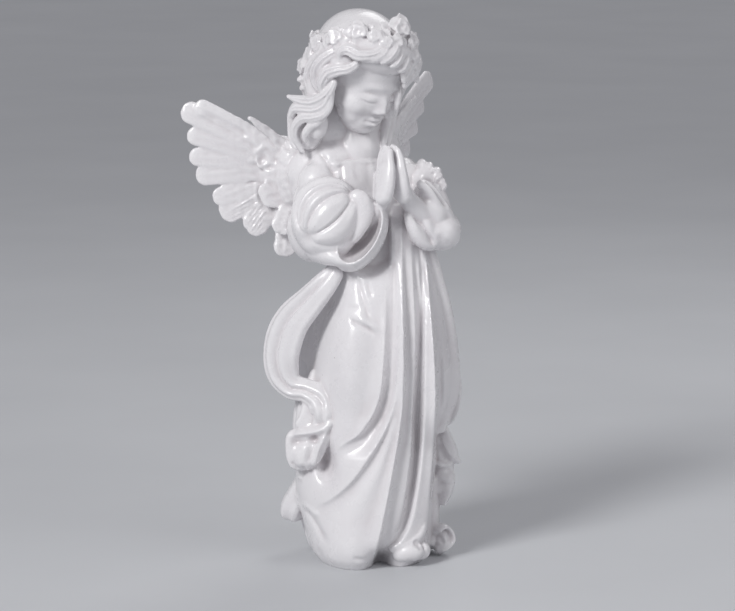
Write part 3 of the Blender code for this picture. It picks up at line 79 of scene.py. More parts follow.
def skin(place, around=24, along=24):
    """A grid rolled into a closed skin; place(turn, run) gives the points in millimetres."""
    bm = bmesh.new()
    bmesh.ops.create_grid(bm, x_segments=around, y_segments=along, size=1)
    flat = np.array([v.co[:2] for v in bm.verts])
    turn = (flat[:, 0] + 1) * math.pi
    run = (flat[:, 1] + 1) / 2
    for vert, point in zip(bm.verts, place(turn, run)):
        vert.co = point
    bmesh.ops.remove_doubles(bm, verts=bm.verts, dist=1e-3)
    mesh = bpy.data.meshes.new("skin")
    bm.to_mesh(mesh)
    bm.free()
    return mesh


def spin(turn):
    """The turning matrix for angles about X, Y and Z in degrees."""
    x, y, z = [math.radians(a) for a in turn]
    return np.array(Matrix.Rotation(z, 3, "Z") @ Matrix.Rotation(y, 3, "Y") @ Matrix.Rotation(x, 3, "X"))


def ball(centre, radii, turn=(0, 0, 0), around=32, along=24, relief=None):
    """An ellipsoid turned about its centre; relief(points, normals) lifts its skin."""
    axes = spin(turn)
    radii = np.array(radii, float)

    def place(angle, run):
        rise = (run - 0.5) * math.pi
        p = np.stack([np.cos(rise) * np.cos(angle), np.cos(rise) * np.sin(angle), np.sin(rise)], axis=1)
        points = (p * radii) @ axes.T + np.array(centre, float)
        if relief is not None:
            normals = unit((p / radii) @ axes.T)
            points = points + normals * relief(points, normals)[:, None]
        return points

    return skin(place, around, along)


def spread(values, count):
    """One row for each path point: a single value is repeated, a list is used as it is."""
    values = np.array(values, float)
    if values.ndim == 0:
        values = np.full(count, float(values))
    return values.reshape(count, -1)


def rounding(distance, reach):
    """How far a form has opened at a distance from its end: a quarter circle over the reach."""
    share = np.clip(distance / reach, 0, 1)
    return np.sqrt(np.maximum(0, 1 - (1 - share) ** 2))


def limb(path, widths, depths=None, facing=(0, -1, 0), relief=None, around=20, along=40, blunt=1.0):
    """A rounded form along a smooth path: widths across, depths towards facing, round ends.

    blunt is the length of the round ends in end widths; relief(across, share) lifts the side that
    faces facing.
    """
    path = np.array(path, float)
    count = len(path)
    widths = spread(widths, count)
    depths = widths if depths is None else spread(depths, count)
    facing = np.broadcast_to(np.array(facing, float), (count, 3))
    fine = curve_through(np.hstack([path, widths, depths, facing]))
    step = np.linalg.norm(np.diff(fine[:, :3], axis=0), axis=1)
    length = np.concatenate([[0], np.cumsum(step)])
    whole = length[-1]
    ends = [min(max(float(row[0]) * blunt, 1e-3), whole / 2) for row in (widths[0], widths[-1])]

    def read(at):
        at = np.clip(at, 0, whole)
        return np.stack([np.interp(at, length, fine[:, k]) for k in range(fine.shape[1])], axis=1)

    def place(turn, run):
        # more rings near the ends, where the form rounds off
        share = 0.6 * run + 0.4 * (0.5 - 0.5 * np.cos(math.pi * run))
        at = share * whole
        row = read(at)
        tangent = unit(read(at + 0.02 * whole)[:, :3] - read(at - 0.02 * whole)[:, :3])
        face = row[:, 5:8]
        normal = unit(face - tangent * np.sum(face * tangent, axis=1, keepdims=True))
        across = np.cross(tangent, normal)
        close = rounding(at, ends[0]) * rounding(whole - at, ends[1])
        c, s = np.cos(turn), np.sin(turn)
        lift = 0 if relief is None else relief(c, share) * np.maximum(0, s) ** 0.5
        out = across * (c * row[:, 3] * close)[:, None]
        out += normal * ((s * row[:, 4] + lift) * close)[:, None]
        return row[:, :3] + out

    return skin(place, around, along)


def joined(meshes):
    bm = bmesh.new()
    for mesh in meshes:
        bm.from_mesh(mesh)
        bpy.data.meshes.remove(mesh)
    out = bpy.data.meshes.new("clay")
    bm.to_mesh(out)
    bm.free()
    return out


def evaluated(mesh, modifiers):
    """What the modifiers make of the mesh, which is used up."""
    obj = bpy.data.objects.new("work", mesh)
    bpy.context.scene.collection.objects.link(obj)
    for kind, settings in modifiers:
        mod = obj.modifiers.new(kind, kind)
        for key, value in settings.items():
            setattr(mod, key, value)
    graph = bpy.context.evaluated_depsgraph_get()
    out = bpy.data.meshes.new_from_object(obj.evaluated_get(graph))
    bpy.data.objects.remove(obj)
    bpy.data.meshes.remove(mesh)
    return out


def fused(meshes, voxel, smooth=0):
    """Overlapping closed forms grown together into one skin, then softened."""
    steps = [("REMESH", dict(mode="VOXEL", voxel_size=voxel, adaptivity=0.0))]
    if smooth:
        steps.append(("SMOOTH", dict(factor=SOFTENING, iterations=smooth)))
    return evaluated(joined(meshes), steps)


def hollowed(mesh, cutter):
    """The form with the cutter's form taken out of it."""
    tool = bpy.data.objects.new("cutter", cutter)
    bpy.data.collections.new("Cutters").objects.link(tool)
    out = evaluated(mesh, [("BOOLEAN", dict(operation="DIFFERENCE", object=tool, solver="EXACT"))])
    bpy.data.objects.remove(tool)
    bpy.data.meshes.remove(cutter)
    return out


def points_of(mesh):
    out = np.empty(len(mesh.vertices) * 3)
    mesh.vertices.foreach_get("co", out)
    return out.reshape(-1, 3)


def normals_of(mesh):
    out = np.empty(len(mesh.vertices) * 3, np.float32)
    mesh.vertex_normals.foreach_get("vector", out)
    return out.reshape(-1, 3).astype(float)


def set_points(mesh, points):
    mesh.vertices.foreach_set("co", np.ascontiguousarray(points, float).ravel())
    mesh.update()


# the three-quarter view and the figure's own directions, mm
TURN = 35.0                                # from the view to the figure's own front, degrees
FRONT = np.array([math.sin(math.radians(TURN)), -math.cos(math.radians(TURN)), 0.0])
LEFT = np.array([math.cos(math.radians(TURN)), math.sin(math.radians(TURN)), 0.0])
UP = np.array([0.0, 0.0, 1.0])
TORSO = np.array([-10.0, 1.0, 0.0])        # the upright line through the chest
TILT = 0.158                               # fall of the view's level lines towards the back
VIEW_RISE = math.radians(9.0)              # how far the view looks down
VIEW_DISTANCE = 2100.0
VIEW_AIM = np.array([-4.3, 0.0, 146.7])    # the middle of the picture
VIEW_AHEAD = np.array([0.0, math.cos(VIEW_RISE), -math.sin(VIEW_RISE)])
VIEW_UP = np.array([0.0, math.sin(VIEW_RISE), math.cos(VIEW_RISE)])
EYE = VIEW_AIM - VIEW_DISTANCE * VIEW_AHEAD
HEIGHT_SCALE = 0.98863                     # from a height on the view's grid to the rise above its middle
HEIGHT_MIDDLE = 143.14


def seen(x, height, y):
    """A point by where it shows in the three-quarter view and how far back it lies."""
    spot = VIEW_AIM + VIEW_UP * (HEIGHT_SCALE * height - HEIGHT_MIDDLE)
    spot[0] = x
    share = (y - EYE[1]) / (spot[1] - EYE[1])
    return EYE + share * (spot - EYE)


def path_seen(rows):
    return [seen(*row) for row in rows]


def seen_ball(spot, radii, *turn, **shape):
    """A ball whose centre is given as for seen()."""
    return ball(seen(*spot), radii, *turn, **shape)


def seen_limb(rows, widths, depths=None, **shape):
    """A limb whose path is given as for seen()."""
    return limb(path_seen(rows), widths, depths, **shape)


def in_view(points):
    """Where points show in the three-quarter view: x and height."""
    away = points - EYE
    scale = VIEW_DISTANCE / (away @ VIEW_AHEAD)
    return away[:, 0] * scale + EYE[0], (away @ VIEW_UP * scale + HEIGHT_MIDDLE) / HEIGHT_SCALE


def body(left, front, z):
    """A point by its distance to the figure's left, to its front, and up."""
    return TORSO + LEFT * left + FRONT * front + UP * z


def bump(x, y, cx, cy, sx, sy):
    """A soft rise of height 1 about a centre."""
    return np.exp(-((x - cx) / sx) ** 2 - ((y - cy) / sy) ** 2)


# robe
ROBE = [  # height, reach to the left of the view, reach to the right, depth centre, half depth
    (206, 24, 14, 3, 15),
    (198, 28, 20, 2, 20),
    (188, 28, 26, 2, 23),
    (176, 27, 31, 2, 26),
    (165, 24, 34, 1, 28),
    (152, 24, 38, 0, 31),
    (138, 30, 41, 0, 34),
    (124, 34, 43, 0, 36),
    (108, 36, 44.5, 0, 37),
    (92, 37, 43.2, 1, 37),
    (82, 39, 38.5, 1, 37),
    (72, 41, 35, 1, 37),
    (60, 44, 35.5, 1, 38),
    (45, 46, 34, 0, 38),
    (32, 44, 33, 0, 39),
    (20, 41, 32.5, 0, 39),
    (8, 38, 32, 0, 38),
    (0, 34, 30, 0, 37),
]

# Lines of the front, from the left of the view to its right: (height, x, lift), and whether
# the line is a sharp crest.
LINES = [
    (False, [(200, -40, 0), (-8, -48, 0)]),
    (False, [(170, -8, 0), (150, -5, 0), (120, -4, -1.8), (90, -8, -2.2), (80, -12, -1.6),
             (72, -17, -1), (55, -30, 0), (30, -40, 0), (-8, -44, 0)]),
    (True, [(170, 5, 0), (150, 6, 1), (110, 4.4, 2.9), (90, 1, 3), (75, -8, 1.8), (70, -14, 0.9),
            (66, -20, 0.1), (55, -28, 0), (30, -39, 0), (-8, -43, 0)]),
    (False, [(178, 9, 0), (165, 10, -0.6), (120, 9, -2.2), (100, 7, -3), (80, 0.5, -3.2),
             (67, -9.5, -2), (62, -16, -1), (58, -23, 0), (50, -29, 0), (30, -38, 0), (-8, -42, 0)]),
    (True, [(178, 12, 1), (150, 13.6, 3), (110, 13, 3.4), (90, 10.4, 3.4), (72, 3.6, 3.8),
            (50, -10.5, 3.2), (40, -20, 2.4), (34, -28, 1.4), (27, -35, 0), (-8, -41, 0)]),
    (False, [(178, 12.6, 1), (150, 14.2, 3.4), (100, 13.2, 3.2), (80, 9, 1.8), (60, 0, 0.2),
             (50, -6, 0), (40, -14, -0.3), (30, -24, -0.6), (20, -30, 0), (-8, -36, 0)]),
    (False, [(178, 13.2, 1.4), (150, 14.6, 3.6), (100, 14.2, 3.8), (80, 10.8, 2.6), (50, 1.6, 2.2),
             (30, -9, 1.2), (18, -16, 0.2), (-8, -22, 0)]),
    (False, [(178, 14, 1.8), (150, 15, 4), (115, 15.2, 4.4), (85, 13.4, 3.4), (60, 7.5, 1.4),
             (40, 2, 1), (18, -7, 0.2), (-8, -14, 0)]),
    (True, [(178, 15, 2.4), (150, 15.6, 4.6), (115, 16.2, 5.2), (85, 15, 5.4), (40, 7.4, 4.8),
            (10, 1.5, 3.4), (-8, -3, 1)]),
    (False, [(178, 17.5, 0.5), (115, 18.8, -3.4), (85, 18.2, -3.6), (65, 17, -2.4), (40, 14, -2.6),
             (20, 9, -4.2), (4, 3.4, -7), (-8, 0, -7)]),
    (True, [(178, 20.5, 0.6), (130, 22.6, -0.8), (100, 21.6, -3), (85, 20.6, -2.6), (60, 20, -1.8),
            (30, 15.8, -3.2), (12, 10.2, -6.4), (5, 6.4, -8.5), (-8, 2, -8.5)]),
    (False, [(178, 25.5, -2), (145, 26.4, -6), (85, 24.3, -11.5), (60, 23.2, -11), (40, 20.8, -10.5),
             (20, 16.6, -10), (12, 13.2, -9.5), (5, 8.6, -9.5), (-8, 5, -9)]),
    (False, [(178, 26.6, 0.2), (160, 28.2, -1), (100, 28.9, -1), (60, 27.2, -1), (30, 23.4, -3),
             (20, 21, -4.4), (12, 17.5, -5.5), (5, 12, -6.5), (-8, 8, -6.5)]),
    (True, [(178, 28.6, 1.5), (100, 34.2, 5), (40, 31.3, 3.8), (20, 29.6, 1.2), (12, 26.6, -1.4),
            (5, 21, -3.5), (-8, 16, -5)]),
    (False, [(178, 29.8, -1), (160, 31.6, -2.5), (130, 35, -6.5), (100, 37, -8), (72, 36, -5),
             (50, 34, -4), (30, 33, -4), (-8, 28, -6)]),
    (False, [(178, 33, 0), (160, 35, -1), (130, 39, -4.5), (85, 40, -3), (60, 37, -1), (-8, 36, 0)]),
    (False, [(178, 40, 0), (130, 45.5, 0.5), (100, 46, 0.8), (85, 45, 0.5), (72, 42, 0), (-8, 40, 0)]),
]

# Small folds: points (x, height), half width, lift.
CREASES = [
    ([(-10, 163), (-7.5, 153), (-5, 144), (-3, 136)], 1.7, -1.2),
    ([(-5, 161), (-3.5, 156), (-1.5, 150)], 1.4, -0.8),
    ([(-13, 141.5), (-13.5, 139), (-9, 136), (-4, 133.5), (1, 129.5)], 1.3, -1.7),
    ([(-11, 142), (-7, 139), (-2, 135.5), (3, 131)], 2.2, 1.4),
    ([(-17, 147), (-12, 145.5), (-8, 146)], 1.5, -0.7),
    ([(24, 179), (24.8, 165), (26, 150), (26.4, 138)], 1, 2),
    ([(27.5, 174), (29, 162), (31.2, 148)], 1, -1.8),
    ([(11, 196), (10.4, 182), (10, 168)], 2.2, 1.6),
    ([(-44, 33), (-38, 27), (-33, 20), (-29, 13), (-26, 8)], 1.6, -2.2),
    ([(-45, 32.5), (-40, 30.5), (-35, 27), (-30, 26)], 1.8, 1.6),
    ([(-13, 3), (-8, 1.5), (-4, 0.5)], 1.2, -1.2),
    ([(-33, 8), (-31, 3), (-29, -1)], 1.2, -1),
    ([(7, 208), (8, 196), (8.6, 184)], 1.6, 1.2),
]

BACK_FOLDS = [  # angle from the front, positive to the right, and height; half width; lift
    ([(122, 186), (128, 130), (132, 90), (130, 50), (128, 20), (128, -5)], 5, 4.5),
    ([(140, 165), (146, 120), (148, 80), (147, 40), (146, -5)], 4, -4.5),
    ([(152, 188), (160, 130), (165, 85), (166, 45), (166, -5)], 6, 5),
    ([(174, 150), (180, 110), (184, 70), (185, 30), (185, -5)], 4, -4.5),
    ([(186, 188), (194, 130), (200, 85), (203, 45), (204, -5)], 6, 5),
    ([(206, 150), (214, 110), (220, 70), (222, 30), (222, -5)], 4, -4.5),
    ([(222, 186), (230, 130), (236, 90), (240, 50), (242, -5)], 5, 4.5),
    ([(246, 120), (250, 80), (252, 40), (253, -5)], 4, -3.5),
    ([(100, 175), (104, 130), (108, 100), (110, 82)], 4, -3.5),
    ([(112, 80), (112, 50), (112, 20), (112, -5)], 4, -3),
]
ARC = 38.0              # radius that turns angles round the back into lengths
SWELLS = [  # lift, x, height, spread across, spread up
    (6, -16, 112, 13, 42),      # over the thigh
    (6, -16, 6, 15, 17),        # over the foot
    (-12, -27.5, 55.5, 4.8, 9.5),
    (-15, 2.5, -4, 6.5, 8),
]
ROBE_TOP, ROBE_FOOT = 206.0, -2.0
CLOSE_TOP, CLOSE_FOOT = 0.05, 0.96      # shares of the skin that close it above and below
UNDER_CUFF = 7.0                        # how far the cloth steps back below the right cuff
OUTER_HEM = 80.0                        # mean height of the outer layer's hem
OUTER_LAYER = 4.6                       # how far the outer layer stands out
WALL_BEARING, WALL_SPREAD, WALL_LIFT = 249.0, 22.0, 14.0    # the side wall behind the scarf


def robe_reach(z):
    """The robe's four measures at each height, evened out over a little of it."""
    table = np.array(ROBE[::-1], float)
    total = [0.0] * 4
    for shift in (-5, -2.5, 0, 2.5, 5):
        at = np.clip(z + shift, 0, ROBE_TOP)
        for k in range(4):
            total[k] = total[k] + 0.2 * np.interp(at, table[:, 0], table[:, k + 1])
    return total


def line_distance(x, z, points):
    """Distance of each point from a smooth line, and how far along the line it lies."""
    line = curve_through(points, 5)
    steps = np.linalg.norm(np.diff(line, axis=0), axis=1)
    best = np.full(x.shape, 1e9)
    share = np.zeros(x.shape)
    done = 0.0
    for start, end, length in zip(line[:-1], line[1:], steps):
        d = (end - start) / max(length, 1e-6)
        px, pz = x - start[0], z - start[1]
        t = np.clip(px * d[0] + pz * d[1], 0, length)
        dist = np.hypot(px - t * d[0], pz - t * d[1])
        share = np.where(dist < best, (done + t) / steps.sum(), share)
        best = np.minimum(best, dist)
        done += length
    return best, share


def crease(x, z, points, wide, lift, fade=0.3):
    """The lift of a fold along a line; fade is the share of its length over which each end dies out."""
    dist, share = line_distance(x, z, points)
    ends = smoothstep(0, fade, share) * smoothstep(0, fade, 1 - share)
    return lift * ends * np.exp(-(dist / wide) ** 2)


def drape(x, h):
    """The lift of the front's cloth, read across its lines at each height."""
    rows = []
    for sharp, points in LINES:
        fine = curve_through(points, 8)[::-1]
        rows.append((sharp, np.interp(h, fine[:, 0], fine[:, 1]), np.interp(h, fine[:, 0], fine[:, 2])))
    lift = np.where(x < rows[0][1], rows[0][2], 0.0)
    lift = np.where(x >= rows[-1][1], rows[-1][2], lift)
    for (sharp0, x0, d0), (sharp1, x1, d1) in zip(rows[:-1], rows[1:]):
        t = np.clip((x - x0) / np.maximum(x1 - x0, 0.05), 0, 1)
        if sharp0 and not sharp1:
            t = 2 * t - t * t
        elif sharp1 and not sharp0:
            t = t * t
        elif not sharp0:
            t = t * t * (3 - 2 * t)
        inside = (x >= x0) & (x < x1)
        lift = np.where(inside, d0 + (d1 - d0) * t, lift)
    return lift


def front_lift(x, h):
    """How far the cloth of the front stands out at each place of the view."""
    lift = drape(x, h)
    for points, wide, high in CREASES:
        lift += crease(x, h, points, wide, high)
    for high, cx, ch, sx, sh in SWELLS:
        lift += high * bump(x, h, cx, ch, sx, sh)
    shaded = smoothstep(161, 169, h - 0.06 * (x + 2) ** 2) * (1 - smoothstep(7.4, 9.4, x))
    return lift - UNDER_CUFF * shaded


def back_lift(angle, z):
    """How far the cloth of the sides and the back stands out; angle 0 is the front."""
    lift = np.zeros_like(z)
    around = np.where(angle < math.radians(80), angle + 2 * math.pi, angle)
    for points, wide, high in BACK_FOLDS:
        arcs = [(ARC * math.radians(a), v) for a, v in points]
        dist, share = line_distance(around * ARC, z, arcs)
        lift += high * smoothstep(0, 0.25, share) * np.exp(-(dist / wide) ** 2)
    hem = OUTER_HEM + 5 * np.sin(3 * angle + 0.6) + 3 * np.sin(7 * angle)
    outer = smoothstep(math.radians(66), math.radians(80), angle)
    outer = np.maximum(outer, smoothstep(math.radians(128), math.radians(140), -angle))
    lift += OUTER_LAYER * outer * smoothstep(-1.0, 1.0, z - hem)
    wall = np.exp(-((np.degrees(around) - WALL_BEARING) / WALL_SPREAD) ** 2)
    return lift + WALL_LIFT * wall * smoothstep(76, 96, z) * (1 - smoothstep(138, 172, z))


def robe():
    """The body of the robe: rings from the chest to the ground, closed above and below."""
    marks = [0, CLOSE_TOP, CLOSE_FOOT, 1]

    def place(turn, run):
        angle = turn - math.pi
        z = np.interp(run, marks, [ROBE_TOP, ROBE_TOP, ROBE_FOOT, ROBE_FOOT])
        inwards = np.interp(run, marks, [0, 1, 1, 0])
        left, right, middle, half = robe_reach(z)
        side, ahead = np.sin(angle), np.cos(angle)
        # how square the ring is to the right, to the left and at the back
        power = np.where(side > 0, 2.6, 2.05)
        power = np.where(ahead < 0, 2.2, power)
        ring = (np.abs(side) ** power + np.abs(ahead) ** power) ** (-1 / power)
        x = np.where(side > 0, right, left) * side * ring
        y = middle - half * ahead * ring
        front = smoothstep(0.05, 0.35, ahead)
        lift = front_lift(x, z + TILT * y) * front
        back = back_lift(angle, z) * (1 - front)
        x = x + back * side
        y = y - lift - back * ahead
        # the hem draws in where it meets the ground
        low = 1 - smoothstep(ROBE_FOOT, 9, z)
        tuck = inwards * (1 - (3.4 + 9 * bump(x, y, 2, -32, 7, 14)) * low**2 / 40)
        return np.stack([x * tuck, 1 + (y - 1) * tuck, z], axis=1)

    return skin(place, 360, 260)


def waved(high, count, phase):
    """A relief of even waves side by side."""
    return lambda c, run: high * np.cos(count * c + phase)


def robe_extras():
    """What trails from the robe: lobes at the lower left, curled hems at the foot and at the right."""
    out = [
        # trailing lobe at the lower left
        seen_limb([(-37, 46, 4), (-42, 37, 8), (-46, 28, 11), (-47.4, 20.6, 13)], [7, 7.6, 8.2, 6.2],
                  [9, 9, 8, 5], relief=waved(1.2, 5, 1), blunt=0.6),
        seen_limb([(-36, 46, 4), (-37, 36, 4), (-35, 24, 2)], [8, 9, 8], 12),
    ]
    for x, y in ((-38.5, 17), (-34, 27)):
        flute = [(x + 3, 52, y - 5), (x, 34, y), (x + 3.6, 16, y), (x + 7, 4, y)]
        out.append(seen_limb(flute, [4, 6, 5.4, 4.6], [4, 6, 6, 5], facing=(-1, 0.3, 0)))
    return out + [
        # the foot of the hem on the right with its curl
        seen_limb([(10, 1, -24), (16, 2, -26), (22, 3, -26), (26, 4, -23)], [5, 5.5, 6, 5], 6),
        seen_limb([(28, 22, -20), (26, 14, -23), (21, 8.5, -26), (13, 5.5, -28), (8, 3, -28)],
                  [2.6, 3, 3.2, 3, 2], [4, 4, 3.4, 3, 2]),
        seen_ball((25.6, 3.4, -21.5), (6.2, 5.5, 5.8)),
        # floor curl at the right
        seen_limb([(34.5, 12, -2), (36, 16, 0), (39.5, 17.3, 2), (42.5, 14, 3), (43.2, 9.5, 3),
                   (40, 6, 2), (36, 3.6, 1)],
                  [1.5, 1.6, 1.6, 1.6, 1.8, 2.2, 2], 5.5, facing=(0.5, -1, 0)),
        seen_ball((39, 9.6, 4), (5, 8, 7)),
        seen_ball((37, 5, 3), (3.4, 6, 4)),
        # lower edge of the outer layer at the right
        seen_limb([(38, 134, 8), (40.6, 112, 8), (41.6, 97, 8), (39.6, 84, 8), (36.6, 79, 8)],
                  [2, 3.4, 3.8, 3.4, 2.4], [8, 12, 13, 12, 9], facing=(0.6, -1, 0),
                  relief=waved(1.0, 4, 1), blunt=0.3),
        # cascade of hems at the right
        seen_limb([(35, 78, 10), (38.5, 70, 9), (41.5, 63, 8), (45, 57, 7), (49, 54.2, 6)],
                  [1.8, 3.2, 4, 3.4, 0.9], [9, 9, 8, 5, 1.6], facing=(0.5, -1, 0.2)),
        seen_limb([(35, 78, 13), (37, 68, 13), (39, 58, 12), (39, 50, 12), (37, 36, 12)],
                  [3, 5, 6, 6, 5], [8, 9, 9, 9, 9], blunt=0.6),
        seen_limb([(34, 54, 6), (39, 53.5, 7), (44.5, 54, 6)], [2.2, 2, 1.6], [7, 6, 4],
                  facing=(0.3, -1, 0)),
        seen_limb([(39, 51, 10), (39.4, 45, 10), (38.8, 38, 10), (36.6, 30, 10)], [6.4, 6.2, 5.6, 3.6],
                  [7, 9, 8, 6], facing=(0.4, -1, 0), relief=lambda c, run: 1.8 * np.cos(4 * c) * run,
                  blunt=0.7),
        seen_limb([(32, 50, 12), (33, 25, 12), (32, 4, 8)], [5, 4, 4], 11),
    ]


HEM_LINES = [  # pressed into the hems at the foot and down the right side
    ([(21.5, 8.6), (25, 7), (28.4, 3.4)], 2.2, -1.6),
    ([(20.4, 9.6), (24, 9.4), (27.6, 7.6), (30, 4.6)], 0.8, 0.5),
    ([(36, 42.8), (40.5, 41.8), (45.4, 41.6)], 1.2, -1),
    ([(34, 50.6), (39, 49.8), (45, 50)], 0.9, -1),
    ([(37.6, 72), (40, 65), (43.6, 58.4), (47.6, 55)], 1.1, 0.9),
    ([(36.4, 66), (38.4, 60), (41.4, 55)], 1.6, -1.2),
    ([(36, 14.6), (37.6, 9.6), (40.4, 5.6)], 1.4, -1.6),
    ([(40.6, 15.4), (42.6, 11), (41.4, 7)], 1, -0.7),
]


# scarf
SCARF_PLEATS = [  # place from the scarf's outer edge (-1) to its inner edge (1), lift
    (-1, -1), (-0.88, 1.5), (-0.6, 0.7), (-0.28, 1.3), (-0.08, 1), (0.1, -1.7), (0.32, 0.2),
    (0.54, 1.7), (0.7, 1.2), (0.8, -0.9), (0.92, 0.9), (1, -0.5),
]
SCARF_BAND = [
    (-20, 168, -22), (-28, 157.8, -23), (-37, 147.5, -21), (-46.4, 137, -18), (-51.4, 127, -16),
    (-53.6, 116, -14.5), (-52.4, 105.5, -14), (-47.2, 98.2, -15), (-39, 95.6, -18), (-31.5, 91.5, -22),
    (-28.5, 84, -25), (-29, 76, -26),
]
SCARF_FACING = [(-0.5, -1, 0.35)] * 6 + [
    (-0.35, -1, 0.1), (-0.2, -1, 0.1), (-0.1, -1, 0.4), (0.1, -1, 0.2), (0.1, -1, 0), (0, -1, 0),
]


def scarf_relief(c, run):
    """Pleats of the scarf, which fade in below the sleeve."""
    table = curve_through(SCARF_PLEATS, 6)
    lift = np.interp(c, table[:, 0], table[:, 1])
    return lift * smoothstep(0.0, 0.22, run) * (1 - 0.35 * smoothstep(0.75, 1.0, run))


def soft_pleats(c, run):
    return 0.9 * np.cos(3.4 * c + 1.2 * run) + 0.5 * np.cos(7 * c - 1.5 * run)


def end_pleats(c, run):
    return 1.3 * np.cos(4.6 * c + 0.6) - 0.6 * c


def scarf():
    out = [
        seen_limb(SCARF_BAND, [5, 7.6, 9.4, 11.4, 12.2, 11.6, 10, 7.8, 7, 8.6, 8.8, 8],
                  [4] + [3.8] * 6 + [4] * 5,
                  facing=SCARF_FACING, relief=scarf_relief, around=88, along=110),
        seen_limb([(-33.5, 97, -17), (-33, 87, -20), (-33.6, 79, -21.5), (-35.5, 70.5, -22)],
                  [7.4, 9, 10.2, 12.6], [4.4, 4.4, 4.2, 3.6], relief=soft_pleats, around=40, blunt=0.35),
        # the end piece under its rolled rim
        seen_limb([(-48, 68.6, -18), (-42.5, 70.6, -22), (-35, 71.6, -25), (-28.5, 74, -27),
                   (-23.8, 79, -28)], [2.6, 3.3, 3.5, 3.2, 2], [3.2, 3.4, 3.4, 3.4, 3]),
        seen_limb([(-38.5, 74, -20), (-40, 66, -21.5), (-40.6, 57, -21.5), (-39.2, 49.4, -21)],
                  [12, 11.4, 10, 6.8], [5, 5.2, 5, 4], relief=end_pleats, around=44, blunt=0.7),
        seen_limb([(-25.2, 74, -26), (-28.6, 68, -26), (-33.6, 61, -25.5), (-37.6, 53, -25)],
                  [1.8, 3.4, 5.2, 5], [2.4, 3, 3.4, 3], facing=(0.25, -1, 0.1), blunt=0.8),
    ]
    # cloth behind the scarf that ties it to the body
    for x, y, low in ((-37, -9, 46), (-38.5, 1, 52), (-36, 10, 40)):
        fold = [(x + 4, y, 112), (x, y - 1, 92), (x - 1, y - 2, 72), (x, y - 3, low)]
        out.append(limb(fold, [3, 5.4, 6.6, 4.6], [3, 7, 8, 7], facing=(-1, -0.2, 0), blunt=0.8))
    return out


SCARF_LINES = [  # the end piece: its rim, the hollow below it and the fold down its right side
    ([(-50, 68.4), (-44, 70.4), (-37, 71.2), (-30, 73.2), (-25.4, 77)], 1.1, 1.3),
    ([(-49, 64.6), (-43, 66.2), (-37, 66.8), (-31, 68.4)], 2.3, -2.8),
    ([(-26.6, 75), (-29.4, 68), (-32.4, 62), (-34.4, 55), (-36.6, 49.6)], 1.1, 1.6),
    ([(-35, 65.6), (-37, 59), (-38.6, 53)], 1.7, -1.9),
    ([(-44.4, 62), (-44, 57), (-42, 51)], 3.2, 1.3),
    ([(-48, 55), (-45.6, 52), (-43.6, 50)], 0.9, -0.9),
    ([(-41.6, 52), (-40, 49.6), (-38.6, 47.6)], 0.8, -0.8),
    ([(-37, 86), (-36.4, 80), (-37.4, 74)], 1.8, -1.2),
    ([(-29.6, 88), (-28.4, 81), (-28.6, 76)], 1.4, 1),
]


# flesh
HEAD_CENTRE = np.array([-8.0, -7.0, 282.5])
HEAD_TURN, HEAD_NOD, HEAD_LEAN, HEAD_SIZE = 43.0, 24.0, 4.0, 0.93
HEAD = (Matrix.Translation(Vector(HEAD_CENTRE))
        @ Matrix.Rotation(math.radians(HEAD_LEAN), 4, "Y")
        @ Matrix.Rotation(math.radians(HEAD_TURN), 4, "Z")
        @ Matrix.Rotation(math.radians(HEAD_NOD), 4, "X")
        @ Matrix.Scale(HEAD_SIZE, 4))
HEAD_ARRAY = np.array(HEAD)


def head_ball(centre, radii):
    """A ball given on the head's own axes: its left, its back and up."""
    mesh = ball((0, 0, 0), radii)
    mesh.transform(HEAD @ Matrix.Translation(Vector(centre)))
    return mesh


HEAD_FORMS = [  # centre and radii on the head's own axes
    ((0, 3, 6), (26, 28.5, 27)),
    ((0, -8, -6), (20.5, 20, 24)),
    ((0, -13, -22), (13.5, 13.5, 12.5)),
    ((11, -14, -12), (9, 10, 10)),
    ((-11, -14, -12), (9, 10, 10)),
    ((8.6, -12.6, -19.4), (8.8, 10, 9.4)),
    ((-8.6, -12.6, -19.4), (8.8, 10, 9.4)),
]
FACE = [  # x (both sides), z, spread x, spread z, lift
    (9.6, -4.5, 5.5, 4.2, -3.4),    # eye sockets
    (9.8, -5.6, 4.4, 3, 3.2),       # eyeballs under their lids
    (9, 1.6, 7.5, 2.2, 0.9),        # brow
    (11.5, -15, 6, 6, 0.8),         # cheeks
    (0, -1, 2.8, 4.5, -0.6),        # root of the nose
    (0, -7, 2.7, 4.6, 2.4),         # bridge
    (0, -12.6, 3.2, 3, 4),          # tip
    (3.4, -13.8, 1.7, 1.5, 1.9),    # wings of the nose
    (1.9, -15.6, 1, 0.7, -1.2),     # nostrils
    (0, -17.4, 1.1, 1.7, -0.6),     # groove above the lip
    (2.3, -19.7, 2.2, 1.2, 1.5),    # upper lip
    (0, -20, 1.2, 1, 0.7),
    (0, -23, 3.4, 1.3, 1.9),        # lower lip
    (5.8, -21.4, 1.4, 1.3, -0.9),   # corners of the mouth
    (0, -26, 4.2, 1.3, -1.3),       # hollow above the chin
    (0, -30, 4.6, 3.2, 1.4),        # chin
]
# Fine lines of the face: height, bend, depth, half thickness, half length.
MOUTH_LINE = (-21.6, 0.0175, 1.2, 0.6, 5.2)
EYE_LINES = [
    (-8.3, 0.04, 1.3, 0.55, 4.6),     # the lashes
    (-2.6, -0.05, 0.9, 0.65, 4.6),    # the fold of the lid
]
EYE_ASIDE = 9.8


def face_line(x, z, height, bend, depth, thin, reach):
    return depth * np.exp(-((z - (height + bend * x**2)) / thin) ** 2) * np.exp(-(x / reach) ** 4)


